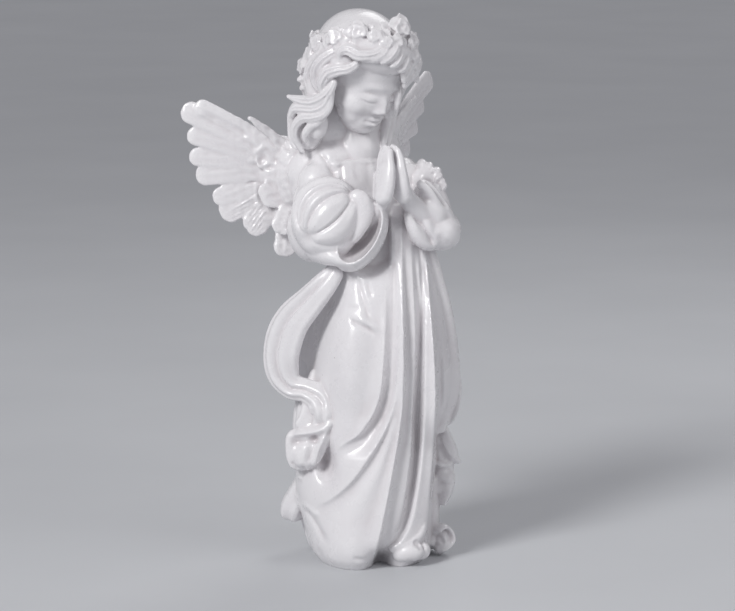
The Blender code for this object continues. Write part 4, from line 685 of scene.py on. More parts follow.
def face_lift(x, z):
    lift = np.zeros_like(x)
    for cx, cz, sx, sz, high in FACE:
        for side in ((-1, 1) if cx else (1,)):
            lift += high * bump(x, z, side * cx, cz, sx, sz)
    lift -= face_line(x, z, *MOUTH_LINE)
    for side in (-1, 1):
        for line in EYE_LINES:
            lift -= face_line(x - side * EYE_ASIDE, z, *line)
    return lift


def carve_face(mesh):
    inverse = np.linalg.inv(HEAD_ARRAY)
    local = points_of(mesh) @ inverse[:3, :3].T + inverse[:3, 3]
    front = smoothstep(4, 12, -local[:, 1]) * smoothstep(-38, -33, local[:, 2])
    local[:, 1] -= face_lift(local[:, 0], local[:, 2]) * front
    set_points(mesh, local @ HEAD_ARRAY[:3, :3].T + HEAD_ARRAY[:3, 3])


def wing_root(side, place):
    """The broad root of one wing; place turns points of the near wing into points of this one."""
    blade = [place(p) for p in path_seen([(-40, 219, 13), (-50, 224, 11), (-62, 228, 9)])]
    ridge = [place(p) for p in path_seen([(-34, 224, 15), (-44, 232, 12), (-54, 237, 10)])]
    return [
        limb([body(side * 3, -9, 212), body(side * 11, -14, 216)] + blade, [14, 17, 15, 12, 5],
             [9, 9, 6, 4, 2], facing=tuple(-FRONT)),
        limb([body(side * 8, -10, 222)] + ridge, [9, 7.5, 6, 4]),
    ]


def torso_masses():
    turn = (0, 0, TURN)
    return [
        ball(body(0, 0, 212), (29, 18, 26), turn),
        ball(body(0, 3, 200), (26, 19, 24), turn),
        ball(body(-27, 0, 219), (12, 11, 12), turn),
        ball(body(29, 0, 218), (13, 12, 13), turn),
        limb([HEAD_CENTRE + (-2, 4, -14), (-10, 2, 252), body(0, -1, 240), body(0, 0, 222)],
             [13.5, 12.5, 14, 18]),
        limb([body(0, -2, 236), body(15, -2, 230), body(28, -2, 222)], [10, 10, 11]),
        limb([body(0, -2, 236), body(-15, -2, 231), body(-28, -2, 223)], [10, 10, 11]),
        limb([body(30, 0, 218), body(36, 8, 204), body(38, 16, 192)], [11.5, 11, 9]),
        limb([body(-28, 0, 219), body(-34, 8, 203), body(-31, 16, 190)], [11.5, 11, 9]),
        ball((-39, -2, 214), (8, 10, 17)),
        seen_ball((-42, 219, 2), (8, 9, 15)),
        # from the shoulders and the back into the root of each wing
        seen_ball((-42, 220, 6), (9, 7, 17)),
        limb([(-14, 0, 244), (-26, -1, 236), (-38, -1, 226), (-44, 2, 214)], [11, 10, 10.5, 9]),
        ball(body(0, -7, 214), (25, 13, 24), turn),
    ] + wing_root(-1, np.array) + wing_root(1, mirrored)


ARMPIT = [  # lines at the shoulder: points (x, height), half width, lift
    ([(-33, 234), (-27.5, 228.5), (-23.5, 222.5), (-20, 218)], 1.5, -2.4),
    ([(-29, 231.5), (-25.2, 226), (-21.5, 220), (-20, 216)], 1, 1.4),
    ([(-20, 227), (-19, 222), (-18.4, 216)], 1.2, -0.8),
    ([(-12, 230), (-11, 224), (-9, 215)], 1.8, -0.5),
    ([(-5, 230), (-4, 222), (-2.5, 212)], 1.5, -0.4),
]


def engrave(mesh, lines, reach=None):
    """Lines pressed into or raised from the skin where it faces the three-quarter view."""
    points = points_of(mesh)
    normals = normals_of(mesh)
    x, h = in_view(points)
    lift = np.zeros(len(points))
    for rows, wide, high in lines:
        lift += crease(x, h, rows, wide, high, 0.25)
    lift *= smoothstep(0.0, 0.35, -normals[:, 1])
    if reach is not None:
        lift *= points[:, 1] < reach
    set_points(mesh, points + normals * lift[:, None])


def carve_bodice(mesh):
    """The cloth over the chest: a rolled neckline with soft pleats hanging from it."""
    points = points_of(mesh)
    normals = normals_of(mesh)
    local = points - TORSO
    left, front = local @ LEFT, local @ FRONT
    edge = 231.8 - 0.004 * (left + 6) ** 2
    cloth = smoothstep(-0.7, 0.7, edge - points[:, 2]) * smoothstep(-25, -19, left)
    roll = np.exp(-((points[:, 2] - edge + 1.2) / 1.2) ** 2) * smoothstep(-25, -19, left)
    pleats = 0.16 * np.cos(0.75 * left + 0.03 * (points[:, 2] - 200)) * smoothstep(-6, 2, left)
    lift = (1.0 * cloth + 0.6 * roll + pleats * cloth) * smoothstep(2, 7, front)
    set_points(mesh, points + normals * lift[:, None])
    engrave(mesh, ARMPIT, 5.0)


def forearms():
    return [
        limb([(36, -4, 190), (28, -14, 199), seen(18.5, 207, -24), seen(16.5, 214, -28)],
             [8, 7, 5.2, 4.6]),
        limb([(-14, -12, 192), (-6, -18, 195), seen(3.6, 202, -31), seen(5.6, 211, -35)],
             [5, 4.4, 3.2, 4.2]),
    ]


FINGERS = [(-5.2, 0.86), (-1.8, 0.96), (1.7, 1), (5, 0.9)]    # place across the palm, length


def hand(side):
    """One of the two hands, which lie palm to palm: side is -1 for the right, 1 for the left."""
    away = LEFT * side
    wrist = seen(11, 203, -33) + away * 8.2
    palm = seen(10.0, 214, -33) + away * 5.2
    base = seen(9.3, 224, -32) + away * 3.8
    tip = seen(8.6, 238, -29) + away * 2.0
    out = [limb([wrist, palm, base, base + (tip - base) * 0.4], [4.6, 7.4, 7.4, 6.2],
                [4.6, 4.5, 3.8, 2.8], facing=away, around=28)]
    for offset, reach in FINGERS:
        root = base + FRONT * -offset
        end = base + (tip - base) * reach + FRONT * offset * -0.62
        mid = (root + end) / 2 + away * 0.5
        out.append(limb([root - (base - palm) * 0.4, root, mid, end], [2.1, 2.2, 2.1, 1.5],
                        [2.6, 2.6, 2.3, 1.6], facing=away))
    thumb = [wrist - FRONT * 4.5 + UP * 2, palm - FRONT * 7.4, palm - FRONT * 7.8 + UP * 8]
    return out + [limb(thumb, [3, 2.8, 2])]


# sleeves
POLE = np.array([-39.0, 184.0])      # the two places (x, height) in which the puff's pleats meet
GATHER = np.array([-12.0, 210.0])
CUFF_CLAY = 0.7                      # size of the cells in which the cuff grows together
PLEATS = [  # place across the puff, lift, half width
    (96, -2.2, 4), (81, -1.5, 3.4), (88, 0.8, 3), (52, -2.2, 6), (66, 0.7, 5), (20, 0.8, 14),
    (-27, -2.6, 6), (-60, 0.8, 14), (-88, -1, 5),
]


def puff_relief(points, normals):
    """Pleats that run over the puffed sleeve from one gathering place to the other."""
    x, h = in_view(points)
    px, pz = POLE[0] - x, POLE[1] - h
    gx, gz = GATHER[0] - x, GATHER[1] - h
    angle = np.degrees(np.arctan2(px * gz - pz * gx, px * gx + pz * gz))
    across = np.sign(angle) * (180 - np.abs(angle))
    lift = np.zeros(len(points))
    for place, high, wide in PLEATS:
        lift += high * np.exp(-((across - place) / wide) ** 2)
    near = np.minimum(np.hypot(px, pz), np.hypot(gx, gz))
    ends = smoothstep(0, 9, near)
    lift = lift * (0.35 + 0.65 * ends) - 2.2 * (1 - smoothstep(0, 7, near))
    return lift * smoothstep(-0.05, 0.35, -normals[:, 1])


def cuff_bell():
    """The wide mouth of the sleeve, hollowed so that only its rim and far wall show."""
    lean = (0, 29, 0)
    outer = fused([
        seen_ball((-8.3, 184.6, -28), (13.4, 16, 21.8), lean, around=64, along=48),
        seen_limb([(-14, 168.4, -33), (-20, 171.6, -32), (-27, 175, -27), (-36, 180, -16)],
                  [2.6, 4.6, 7, 9], [5, 7, 9, 10]),
    ], CUFF_CLAY)
    return hollowed(outer, seen_ball((-8.8, 186.4, -40), (9.8, 25, 18.4), lean, around=64, along=48))


def right_sleeve():
    return [
        cuff_bell(),
        seen_ball((-27.5, 195.5, -25), (20.5, 17, 23.5), around=140, along=110, relief=puff_relief),
        seen_ball((-37, 187, -13), (13, 15, 17), (0, -12, 0)),
        seen_ball((-33, 205, -14), (14, 15, 14)),
        seen_limb([(-15, 208, -29), (-9.6, 206.6, -30), (-6.4, 201.6, -31), (-6.6, 195, -31.5),
                   (-9.8, 187.6, -31), (-13.6, 181, -30)],
                  [3.4, 5.4, 5.8, 5, 3.8, 2.4], [4, 4.4, 4.4, 4.2, 4, 3]),
    ]


LEFT_SLEEVE_LINES = [  # points (x, height), half width, lift
    ([(20.4, 199.4), (26.5, 192.6), (31, 185), (34.8, 178)], 1.2, -2.6),
    ([(26.4, 219), (32.6, 215), (37.4, 208), (41.4, 200.4)], 1.1, -2.4),
    ([(25, 207.4), (29, 203.4), (33.4, 197.4), (37, 191.6)], 2.2, -0.5),
    ([(36.6, 214), (39.6, 207), (42, 200)], 0.9, -0.9),
    ([(36, 186), (40, 181.6), (44, 180.6)], 1.8, -0.6),
]


def sleeve_folds(points, normals):
    """Shallow waves on the side of the sleeve that faces left and towards the view."""
    y, z = points[:, 1], points[:, 2]
    wave = np.cos(0.4 * (z - 0.9 * y)) + 0.4 * np.cos(0.8 * z + 0.4 * y)
    return 0.5 * wave * smoothstep(0.2, 0.8, normals @ LEFT + 0.5 * normals[:, 1])


def left_sleeve():
    return [
        seen_ball((37.6, 188, -7), (11.8, 13, 11.2), (0, 10, 0), around=64, along=48,
                  relief=sleeve_folds),
        seen_ball((27.6, 189.8, -13), (8.6, 11, 13.4), (0, -24, 0)),
        seen_ball((32, 186.6, -10), (10, 12, 10.2)),
        seen_limb([(18.4, 200, -20), (21.6, 191, -20), (26.5, 183.4, -17), (33, 179.8, -12)],
                  [2.6, 4.2, 5, 4], [4, 7, 8, 7]),
        seen_limb([(26, 205, -17), (32, 199, -15), (38, 192, -11)], [5.4, 7.4, 8.4], [5, 6, 7]),
        seen_limb([(23.6, 213.6, -18), (27.4, 214.6, -18.5), (31.6, 211, -17.5), (36, 205, -15),
                   (40.4, 198, -11), (43, 192, -8)],
                  [2.4, 3.2, 3.7, 3.9, 4.2, 4.2], [3.2, 3.8, 4, 4, 4.4, 4.4]),
        seen_limb([(30, 215, 6), (34, 207, 3), (36.6, 198, 0), (38, 190, 0)], [6.6, 7.4, 7.6, 7],
                  [10, 11, 11, 10]),
        seen_ball((33, 190.5, -14.5), (6.8, 5, 8)),
        seen_ball((27.6, 209.6, -14.5), (4.2, 4.4, 5)),
        seen_ball((31.6, 203, -14), (4.8, 4.6, 8), (0, -35, 0)),
        seen_ball((35.6, 196, -12.5), (5.6, 4.6, 8), (0, -30, 0)),
        seen_ball((26, 206, -4), (5, 8, 9)),
        seen_ball((29, 217, 10), (8, 9, 9)),
    ]


FRILL = [  # x, height, depth, size, lean
    (26.6, 225, 13, 3.8, 10),
    (30.4, 224.4, 10, 3, 30),
    (34, 220.6, 9, 4, 35),
    (37.4, 215, 6, 3.4, 20),
]


def frill():
    """The gathered edge that stands over the left shoulder."""
    out = []
    for x, h, y, size, lean in FRILL:
        out.append(seen_ball((x, h, y), (size * 0.8, size * 1.6, size * 1.25), (0, lean, 12)))
        out.append(seen_ball((x + 1.6, h - 2.4, y - 4), (size * 0.5, size, size), (0, lean + 14, 0)))
    return out


# wings
# Feathers: root (x, height), tip (x, height), half widths at root, middle and tip, depth of the tip,
# height of the fine lines.
FEATHERS = [
    ((-50, 230), (-99, 259), (5, 4.8, 4.8), 9, 0.12),
    ((-52, 229), (-105.5, 256), (6, 7, 6.4), 9, 0.12),
    ((-54, 228), (-103, 242.6), (6, 7.5, 5.2), 8, 0.14),
    ((-54, 226), (-102, 230.4), (6, 7.5, 5), 7, 0.16),
    ((-54, 223), (-97, 220), (6, 7.5, 6.2), 6.2, 0.18),
    ((-54, 219), (-88.2, 207.4), (6, 7.5, 5.2), 5.5, 0.2),
    ((-53, 216), (-82.4, 199.8), (6, 8, 7.4), 5, 0.6),
    ((-52, 212), (-68, 192.2), (6, 8, 7.8), 4.2, 0.7),
    ((-47, 206), (-51.5, 178.8), (6, 7, 6.6), 2, 0.2),
]
COVERTS = [  # the shorter feathers over the roots of the others
    ((-50, 235), (-71.9, 253.2), (4.4, 3, 1.1), 4, 0.1),
    ((-46, 227), (-61.6, 229.6), (6, 8, 7.4), 8.4, 0.12),
    ((-46, 214), (-59.2, 209.4), (7, 9, 8.2), 6.6, 0.15),
    ((-44, 208), (-53, 191), (6, 7, 6.2), 2.4, 0.2),
]


def mirrored(p):
    """The point on the other wing: across the figure's middle plane and held a little higher."""
    p = np.array(p, float)
    reach = p @ LEFT
    spread_out = min(1.0, max(0.0, -reach - 20) / 45)
    drawn_in = 0.34 * max(0.0, 268 - p[2]) * spread_out + 0.09 * min(0.0, reach + 20)
    return p - 2 * LEFT * reach - UP * 0.13 * min(0.0, reach + 20) - LEFT * drawn_in


FINE_LINES = 24.0       # how closely the lines along a feather lie, over its half width
FEATHER_DEPTH = 1.5     # half the thickness of a feather, mm


def feather(root, tip, wide, depth, high, rank, mirror):
    """One feather: a blunt blade with a raised shaft and fine lines along it."""
    start = seen(*root, 10.0 - rank)
    end = seen(*tip, depth - rank)
    along = unit(end - start)
    drop = np.array([0, 0, -0.03]) * np.linalg.norm(end - start)
    path = [start, start + (end - start) * 0.35 - drop, start + (end - start) * 0.72 - drop * 0.8,
            end + along * wide[2] * 0.92]
    facing = np.array([0.1, -1, 0.1])
    if mirror:
        path = [mirrored(p) for p in path]
        facing = facing - 2 * LEFT * (facing @ LEFT)

    def blade(c, run):
        cup = c * c * run
        shaft = 0.35 * np.exp(-(c / 0.14) ** 2)
        sway = 1.3 * np.sin(4.3 * run + rank) + 0.7 * np.sin(9.1 * run - 1.7 * rank)
        lines = np.cos(FINE_LINES * c + sway) + 0.6 * np.cos(1.7 * FINE_LINES * c - 1.3 * sway + rank)
        patch = 0.55 + 0.45 * np.cos(6.3 * run + 2.4 * c + 1.9 * rank)
        return cup + shaft + high * lines * patch * smoothstep(0.02, 0.2, run)

    return limb(path, [wide[0], wide[1], (wide[1] + wide[2]) / 2, wide[2]],
                np.array([1.2, 1, 1, 0.8]) * FEATHER_DEPTH,
                facing=facing, relief=blade, around=104, along=110, blunt=0.9)


WING_LINES = [  # worked into the front of the near wing: points (x, height), half width, lift
    ([(-69.5, 224), (-70, 229), (-67.6, 233.7), (-62.9, 236.6), (-55.2, 235)], 1.3, 0.8),
    ([(-67, 226.5), (-64.5, 229.5), (-61, 230.5)], 3, -2.2),
    ([(-66, 222.5), (-62, 224), (-57, 226)], 1.4, -1.2),
    ([(-67.6, 217.5), (-68.1, 211.5), (-67.1, 205), (-64.8, 202), (-60, 201.4)], 1.2, 0.8),
    ([(-75.7, 213.5), (-72.4, 215.4), (-67.6, 215.9), (-61, 215)], 0.8, -0.9),
    ([(-100, 257), (-92, 252), (-84, 248), (-76, 244.6), (-68.6, 242.4)], 3.2, -1.8),
    ([(-62, 218), (-58, 212), (-57, 205)], 1.6, -0.8),
    ([(-59, 232), (-55, 227), (-50, 224)], 1.4, -0.8),
    ([(-56, 215), (-52, 211), (-50, 204)], 1.4, -0.8),
    ([(-57, 241), (-52, 237), (-47, 234)], 1.2, -0.9),
]


UNEVEN_LIFT, UNEVEN_PITCH = 0.22, 4.6    # height and spacing of the patches
UNEVEN_WAVES = 9


def uneven(mesh):
    """Hand-worked unevenness: the skin rises and sinks a little in irregular patches."""
    points = points_of(mesh)
    chance = np.random.default_rng(5)
    lift = np.zeros(len(points))
    for _ in range(UNEVEN_WAVES):
        wave = unit(chance.normal(size=3)) * 2 * math.pi / (UNEVEN_PITCH * chance.uniform(0.7, 1.6))
        lift += np.sin(points @ wave + chance.uniform(0, 2 * math.pi))
    near_shoulder = 1 - smoothstep(50, 70, np.abs(points @ LEFT))
    lift *= UNEVEN_LIFT * (0.3 + 0.7 * near_shoulder) / 3
    set_points(mesh, points + normals_of(mesh) * lift[:, None])


WING_ARM = [
    (-26, 226, 16), (-42, 234, 13), (-54, 238, 11), (-65, 241.6, 9), (-78, 245.6, 8), (-92, 255.6, 8),
]
WING_PADS = [  # the soft masses between the feathers and the shoulder: centre, radii
    ((-40, 216, 12), (18, 8, 24)),
    ((-51, 221, 9), (16, 5.8, 17)),
    ((-50, 196, 9), (8, 5, 18)),
    ((-48, 221, 6), (9, 8, 19)),
    ((-70, 232, 10), (16, 2.6, 13)),
]


def wings():
    out = []
    for mirror in (False, True):
        place = mirrored if mirror else np.array
        for layer, step in ((FEATHERS, 0.8), (COVERTS, 0.6)):
            out += [feather(*row, 3.0 - k * step, mirror) for k, row in enumerate(layer)]
        out.append(limb([place(p) for p in path_seen(WING_ARM)], [10, 7, 5.4, 4, 2.8, 2],
                        [8, 6.5, 5, 4, 3, 2.4]))
        turn = (0, 0, 2 * TURN) if mirror else (0, 0, 0)
        out += [ball(place(seen(*centre)), radii, turn) for centre, radii in WING_PADS]
    return out


# hair
GROOVE_DEPTH = 0.26     # depth of the valleys between the strands, over the lock's half width


def lock(path, widths, strands, deep, facing):
    """A lock of hair: round strands side by side with sharp valleys between them."""
    widths = np.array(widths, float)

    def groove(c, run):
        strand = np.abs(np.cos(0.5 * math.pi * (strands * c + run)))
        fine = np.abs(np.cos(0.5 * math.pi * (2.7 * strands * c - 1.7 * run)))
        return GROOVE_DEPTH * widths.max() * (2 * strand + 0.5 * fine - 1.4)

    return limb(path, widths, widths * deep, facing=facing, relief=groove, around=16 * strands, along=48)


def outward_of_head(rows):
    """Facings for a lock that lies on the head: half outwards, half towards the view."""
    away = (np.array(rows) - HEAD_CENTRE) * (1, 1, 0.4)
    return unit(unit(away) + unit(np.array([0.0, -1.0, 0.15])))


SEEN_LOCKS = [  # points (x, height, depth), half widths, strands
    # brow: the big wave and the one below it
    ([(5, 293.5, -37), (-1, 290, -39), (-9, 289.6, -39.5), (-15, 292.6, -38), (-19.5, 291.5, -36),
      (-20.5, 286.6, -34.5)], [2.2, 3, 3.6, 3.4, 2.6, 1.4], 3),
    ([(7, 290, -38), (0, 287.4, -39.5), (-7, 286.2, -39.5)], [1.2, 1.7, 1], 2),
    ([(-9, 285.6, -36.5), (-15, 281.8, -36.5), (-21, 281, -35.5), (-27, 279, -33), (-30.4, 273.6, -31),
      (-30.4, 268, -29.5)], [2.2, 3, 3.6, 3.8, 3.2, 1.6], 3),
    # from under the wreath back over the side
    ([(-20, 293, -33), (-26, 289.6, -32), (-31, 285.6, -30), (-34, 280, -27), (-33.4, 273, -25.5),
      (-29.6, 267.6, -26)], [2.4, 3.4, 3.8, 3.6, 3, 1.6], 3),
    ([(-28, 292, -27), (-33.4, 287.4, -24), (-37, 281, -20), (-37.4, 274, -18), (-34.6, 267.4, -20),
      (-29, 265, -24)], [2.6, 3.4, 3.6, 3.4, 3, 1.4], 3),
    ([(-33, 290, -19), (-37.4, 285, -15), (-39.4, 278.6, -12), (-38.6, 271, -12), (-34.6, 265.6, -16)],
      [2.8, 3.2, 3, 2.8, 1.6], 3),
    # the flips at the silhouette
    ([(-35, 282, -13), (-40, 276.8, -12), (-44.6, 274.6, -11)], [3.6, 3, 1.2], 2),
    ([(-35, 276, -13), (-39.4, 271.6, -12), (-43.2, 269.8, -11)], [3.4, 2.8, 1.2], 2),
    ([(-22.6, 275.6, -33), (-25.4, 270, -32), (-29.6, 265.4, -30), (-36, 262.8, -26.5), (-43, 263.6, -22),
      (-50.6, 266, -17.5)], [1.6, 2.8, 3.4, 3.6, 2.8, 0.9], 3),
    ([(-24, 272, -32), (-25.6, 266, -31), (-28.8, 261, -29.5), (-34, 258.4, -27), (-40.5, 258.6, -23),
      (-46, 258.4, -19), (-48.4, 253, -16.5)], [1.4, 2.4, 3, 3.4, 3.2, 3, 1.8], 3),
    ([(-24.2, 267, -31), (-25.8, 260, -30.5), (-29.4, 255.4, -29), (-35, 253.8, -26.5), (-41, 253.2, -23),
      (-45.4, 249, -20), (-46, 242.6, -18), (-43, 236.8, -17), (-40.2, 232.6, -17)],
      [1.2, 2, 2.6, 3, 3, 2.8, 2.6, 2, 0.9], 3),
    ([(-44, 262, -15), (-47.4, 256, -12), (-47.8, 248.6, -10), (-47.2, 241, -10), (-44, 235, -12)],
      [2.8, 2.6, 2.4, 2.4, 1.4], 3),
    ([(-27.6, 254.6, -27), (-32, 250.8, -26.5), (-37, 248.2, -24.5), (-40, 243.6, -22.5),
      (-39.4, 238.6, -21)], [1.2, 2, 2.4, 2.2, 0.9], 3),
    # the right of the view
    ([(8, 296, -35), (5.4, 291, -37.5), (0.6, 287.4, -39), (-4, 285.8, -39.5)], [1.8, 2.6, 2.4, 1], 3),
    ([(12.4, 297, -32), (11.4, 292.4, -34.5), (7.6, 287.6, -37), (2.9, 284.3, -38.6)],
      [2, 3, 2.6, 1], 3),
    ([(15.6, 294, -28.5), (14.2, 289, -31.5), (11.6, 284.6, -34), (8.2, 282.6, -36)],
      [2.2, 3, 2.6, 1], 3),
    ([(18.6, 292, -25), (17.6, 286, -28), (15.6, 281.6, -30), (12.6, 280, -32)], [2.2, 2.8, 2.4, 1], 3),
    ([(21, 290, -20), (20, 283, -22.5), (17, 277.6, -24.5), (16.6, 272.6, -24)], [2.6, 3, 2.6, 1.2], 3),
    ([(25, 288, -12), (22.6, 281, -16), (18.6, 275.2, -19), (16.2, 270, -20)], [2.8, 3.2, 2.8, 1.3], 3),
    ([(21, 292, -8), (22.4, 285, -8), (18, 278, -10), (12.8, 272, -13), (13, 265, -15), (11.4, 257, -15)],
      [4, 4.2, 4, 3.2, 2.4, 1.2], 3),
    ([(15, 284, 0), (12, 272, -4), (8, 262, -8), (8, 252, -8)], [6, 6, 5, 3], 3),
]


UNDER_BROW = [
    (-32, 286, -22), (-24, 292, -29), (-12, 295, -34), (2, 294, -35), (12, 292, -31), (20, 287, -21),
]
UNDER_WREATH = [
    (-33, 287, -16), (-25, 292, -23), (-13, 295.5, -28), (2, 295.5, -29), (13, 293, -25), (21, 288, -16),
]
HAIR_PADS = [  # what lies under the seen locks: centre (x, height, depth), radii
    ((-41.5, 250, -13), (5.5, 6, 12)),
    ((-25, 283, -28), (7, 5, 7)),
    ((-29, 284, -18), (8, 10, 13)),
    ((-19, 286, -32.5), (6.5, 4, 5)),
    ((-33, 250, -20), (6, 5, 9)),
    ((-33, 268, -14), (7.5, 11, 17)),
    ((-38, 250, -9), (9, 9, 15)),
]
BACK_PADS = [  # what lies under the locks at the back: centre, radii
    ((-24, 2, 250), (15, 13, 18)),
    ((-10, 4, 257), (14, 14, 28)),
    ((-10, 7, 236), (15, 10, 12)),
    ((-14, 6, 262), (19, 15, 17)),
]
# The locks at the back: distance from the head's middle and height, down each lock.
BACK_WAVE = [(25, 290), (29, 283), (29.5, 273), (27, 262), (24, 250), (21, 240), (17, 230)]
BACK_LAYERS = [(9, 0, 0), (8, 2.2, 5)]     # number of locks, how far they stand out, rise of their tips


def back_lock(k, layer):
    """One wavy lock from the wreath to the shoulders; the locks of each layer follow one another."""
    count, swell, rise = BACK_LAYERS[layer]
    # bearing 0 points to the left of the view's back, 180 to its right
    bearing = math.radians(-12 + (k + 0.5 * layer) * 168 / (count - 1) + 4)
    across, back = -math.cos(bearing), math.sin(bearing)
    wave = 2.6 if (k + layer) % 2 else -2.6
    path = []
    for j, (radius, z) in enumerate(BACK_WAVE):
        if j == len(BACK_WAVE) - 1:
            z += rise
        sway = wave * math.sin(j * 1.7 + 0.6 * k)
        r = (radius + swell) * (1 - 0.36 * max(0.0, across) * min(1.0, (300 - z) / 25))
        r *= 1 - 0.17 * max(0.0, -across - 0.4)
        path.append((-9 + across * r * 0.95 - back * sway, -2 + back * r * 0.95 + across * sway,
                     z + 1.5 * math.sin(3.1 * k)))
    return lock(path, [3, 5.4, 5.8, 5.6, 5, 4, 1.6], 3, 0.75, (across, back, 0.1))


def hair():
    out = [
        head_ball((0, 5, 8), (27.5, 29.5, 27)),
        head_ball((0, 9, -4), (24, 23, 25)),
        head_ball((0, -0.5, 18.5), (27, 28.8, 15)),
        seen_limb(UNDER_BROW, 5, 4),
    ]
    out += [seen_ball(spot, radii) for spot, radii in HAIR_PADS]
    out += [ball(centre, radii) for centre, radii in BACK_PADS]
    out.append(seen_limb(UNDER_WREATH, 5))
    for rows, widths, strands in SEEN_LOCKS:
        path = path_seen(rows)
        out.append(lock(path, widths, strands, 0.8, outward_of_head(path)))
    for y in (0, 9, 18):
        path = [(-30, y - 14, 292), (-35.5, y - 12, 284), (-37, y - 10, 274), (-35.6, y - 8, 264),
                (-38, y - 8, 253), (-36, y - 8, 242)]
        out.append(lock(path, [3, 5, 5.4, 5, 4.4, 2], 3, 0.7, (-1, -0.2, 0.1)))
    for layer, (count, *_) in enumerate(BACK_LAYERS):
        out += [back_lock(k, layer) for k in range(count)]
    return out


# wreath
PETAL_RINGS = [  # where the rim lies (0 the middle, 1 the equator), petals, height of the rim
    (0.20, 2, 0.20),
    (0.44, 3, 0.32),
    (0.74, 4, 0.36),
    (1.08, 5, 0.34),
]


def rose(centre, normal, size, turn):
    """A rose seen from its face: a dome with rings of petals whose rims stand up."""
    normal = unit(normal)
    side = unit(np.cross(normal, (0.31, 0.12, 0.95)))
    other = np.cross(normal, side)

    def place(around, run):
        lean = 2 * run
        swirl = np.zeros_like(run)
        for ring, (edge, petals, high) in enumerate(PETAL_RINGS):
            lobe = np.abs(np.cos(0.5 * petals * around + turn + 1.1 * ring))
            rim = edge * (0.82 + 0.32 * lobe) + 0.05 * np.sin(around + turn + 2 * ring)
            within = lean / rim
            swirl += high * np.where(within < 1, within**2.5, 0.0)
        reach = size * (0.52 + swirl)
        flat, up = np.sin(run * math.pi), np.cos(run * math.pi)
        outwards = np.outer(np.cos(around), side) + np.outer(np.sin(around), other)
        return centre + (reach * flat)[:, None] * outwards + np.outer(reach * up * 0.72, normal)

    return skin(place, 84, 60)


def leaf(root, tip, wide, facing):
    mid = (root + tip) / 2 + unit(facing) * 0.8

    def vein(c, run):
        return 0.35 * wide * np.abs(c) + 0.12 * np.cos(14 * run - 5 * np.abs(c))

    return limb([root, mid, tip], [wide * 0.6, wide, wide * 0.2], [0.9, 0.9, 0.6], facing=facing,
                relief=vein, around=32, along=24, blunt=0.5)


WREATH_CENTRE = np.array([-6.5, -6.0, 295.5])


def on_wreath(bearing, out_by, up_by=0.0):
    """A point of the wreath: bearing 0 is towards the view, growing to its right."""
    x = math.sin(bearing) * out_by
    y = -math.cos(bearing) * out_by * 0.97
    return WREATH_CENTRE + np.array([x, y, up_by - 0.26 * y - 0.09 * x])


BLOSSOMS = [  # the blossoms that show in the three-quarter view: x, height, depth, size
    (13.6, 305.6, -25, 8.4),
    (-9.6, 303.4, -35, 7.2),
    (-21.4, 299.6, -32, 7.4),
    (0.4, 300.2, -36, 6),
    (6.4, 296.6, -36, 5.4),
    (-33, 297, -20, 6.6),
    (-28.8, 292, -27, 5.6),
    (-14.6, 296.8, -35, 4.6),
    (-41, 283.4, -13, 5.6),
    (-37.2, 289.8, -15, 5.6),
    (20.6, 297.6, -20, 6.6),
    (21.2, 289.4, -21, 6.4),
    (23, 282.6, -16, 5.2),
    (22.6, 277, -13, 4.4),
    (12.2, 297.6, -32.5, 5.2),
]
SPRIGS = [  # leaves between them: root and tip (x, height, depth), half width
    ((-16, 303.4, -30), (-13.4, 297.4, -35), 3),
    ((-5, 306, -29), (0.4, 303, -32.5), 2.8),
    ((-27, 300, -28), (-27.6, 293.4, -31), 2.8),
    ((8, 303, -27), (3.6, 308.4, -24), 3.4),
    ((4, 303.6, -30), (8.6, 300, -32.5), 2.8),
    ((16, 299.6, -28), (14.8, 293, -32), 2.8),
    ((-9.6, 298.6, -35), (-4.4, 296, -36.6), 2.6),
    ((-36, 293, -19), (-37.6, 286, -18), 2.6),
    ((19, 284, -23), (17.4, 278.4, -24), 2.4),
    ((-22, 295, -32.5), (-17, 294.4, -35), 2.4),
]


VINE_PIECES = 20          # limbs that make up the ring under the flowers
HIDDEN_BLOSSOMS = 13      # places in each of the two rows at the sides and the back
HIDDEN_ROWS = [  # rise over the wreath, distance from its middle, size, upward look
    (4, 27, 5, 0.5),
    (-3.6, 28.6, 5.2, 0.15),
]


def seen_wreath():
    """The blossoms and leaves that show in the three-quarter view."""
    out = []
    for *spot, size in BLOSSOMS:
        centre = seen(*spot)
        outward = (centre - WREATH_CENTRE) * (1, 1, 0) + UP * 8 - np.array([0, 6, 0])
        out.append(rose(centre, outward, size, 0.3 * spot[0]))
    for root, tip, wide in SPRIGS:
        root, tip = seen(*root), seen(*tip)
        out.append(leaf(root, tip, wide, ((root + tip) / 2 - WREATH_CENTRE) * (1, 1, 0) + UP * 6))
    return out


def hidden_wreath():
    """The sides and the back, which carry on in two staggered rows."""
    out = []
    half_step = math.pi / HIDDEN_BLOSSOMS
    for k in range(HIDDEN_BLOSSOMS):
        for row, (up, reach, size, look) in enumerate(HIDDEN_ROWS):
            bearing = 2 * math.pi * k / HIDDEN_BLOSSOMS + 0.1 + row * half_step
            if math.cos(bearing) > 0.1:
                continue
            normal = (math.sin(bearing), -math.cos(bearing), look)
            size += 0.6 * math.sin(3 * k)
            out.append(rose(on_wreath(bearing, reach, up), normal, size, 0.4 + k))
            middle = bearing + half_step
            lean = 0.1 if (k + row) % 2 else -0.1
            root = on_wreath(middle - lean, 28.2, up - 1.6)
            tip = on_wreath(middle + lean, 28.8, up + 1.8)
            out.append(leaf(root, tip, 2.6, (math.sin(middle), -math.cos(middle), 0.35)))
    return out


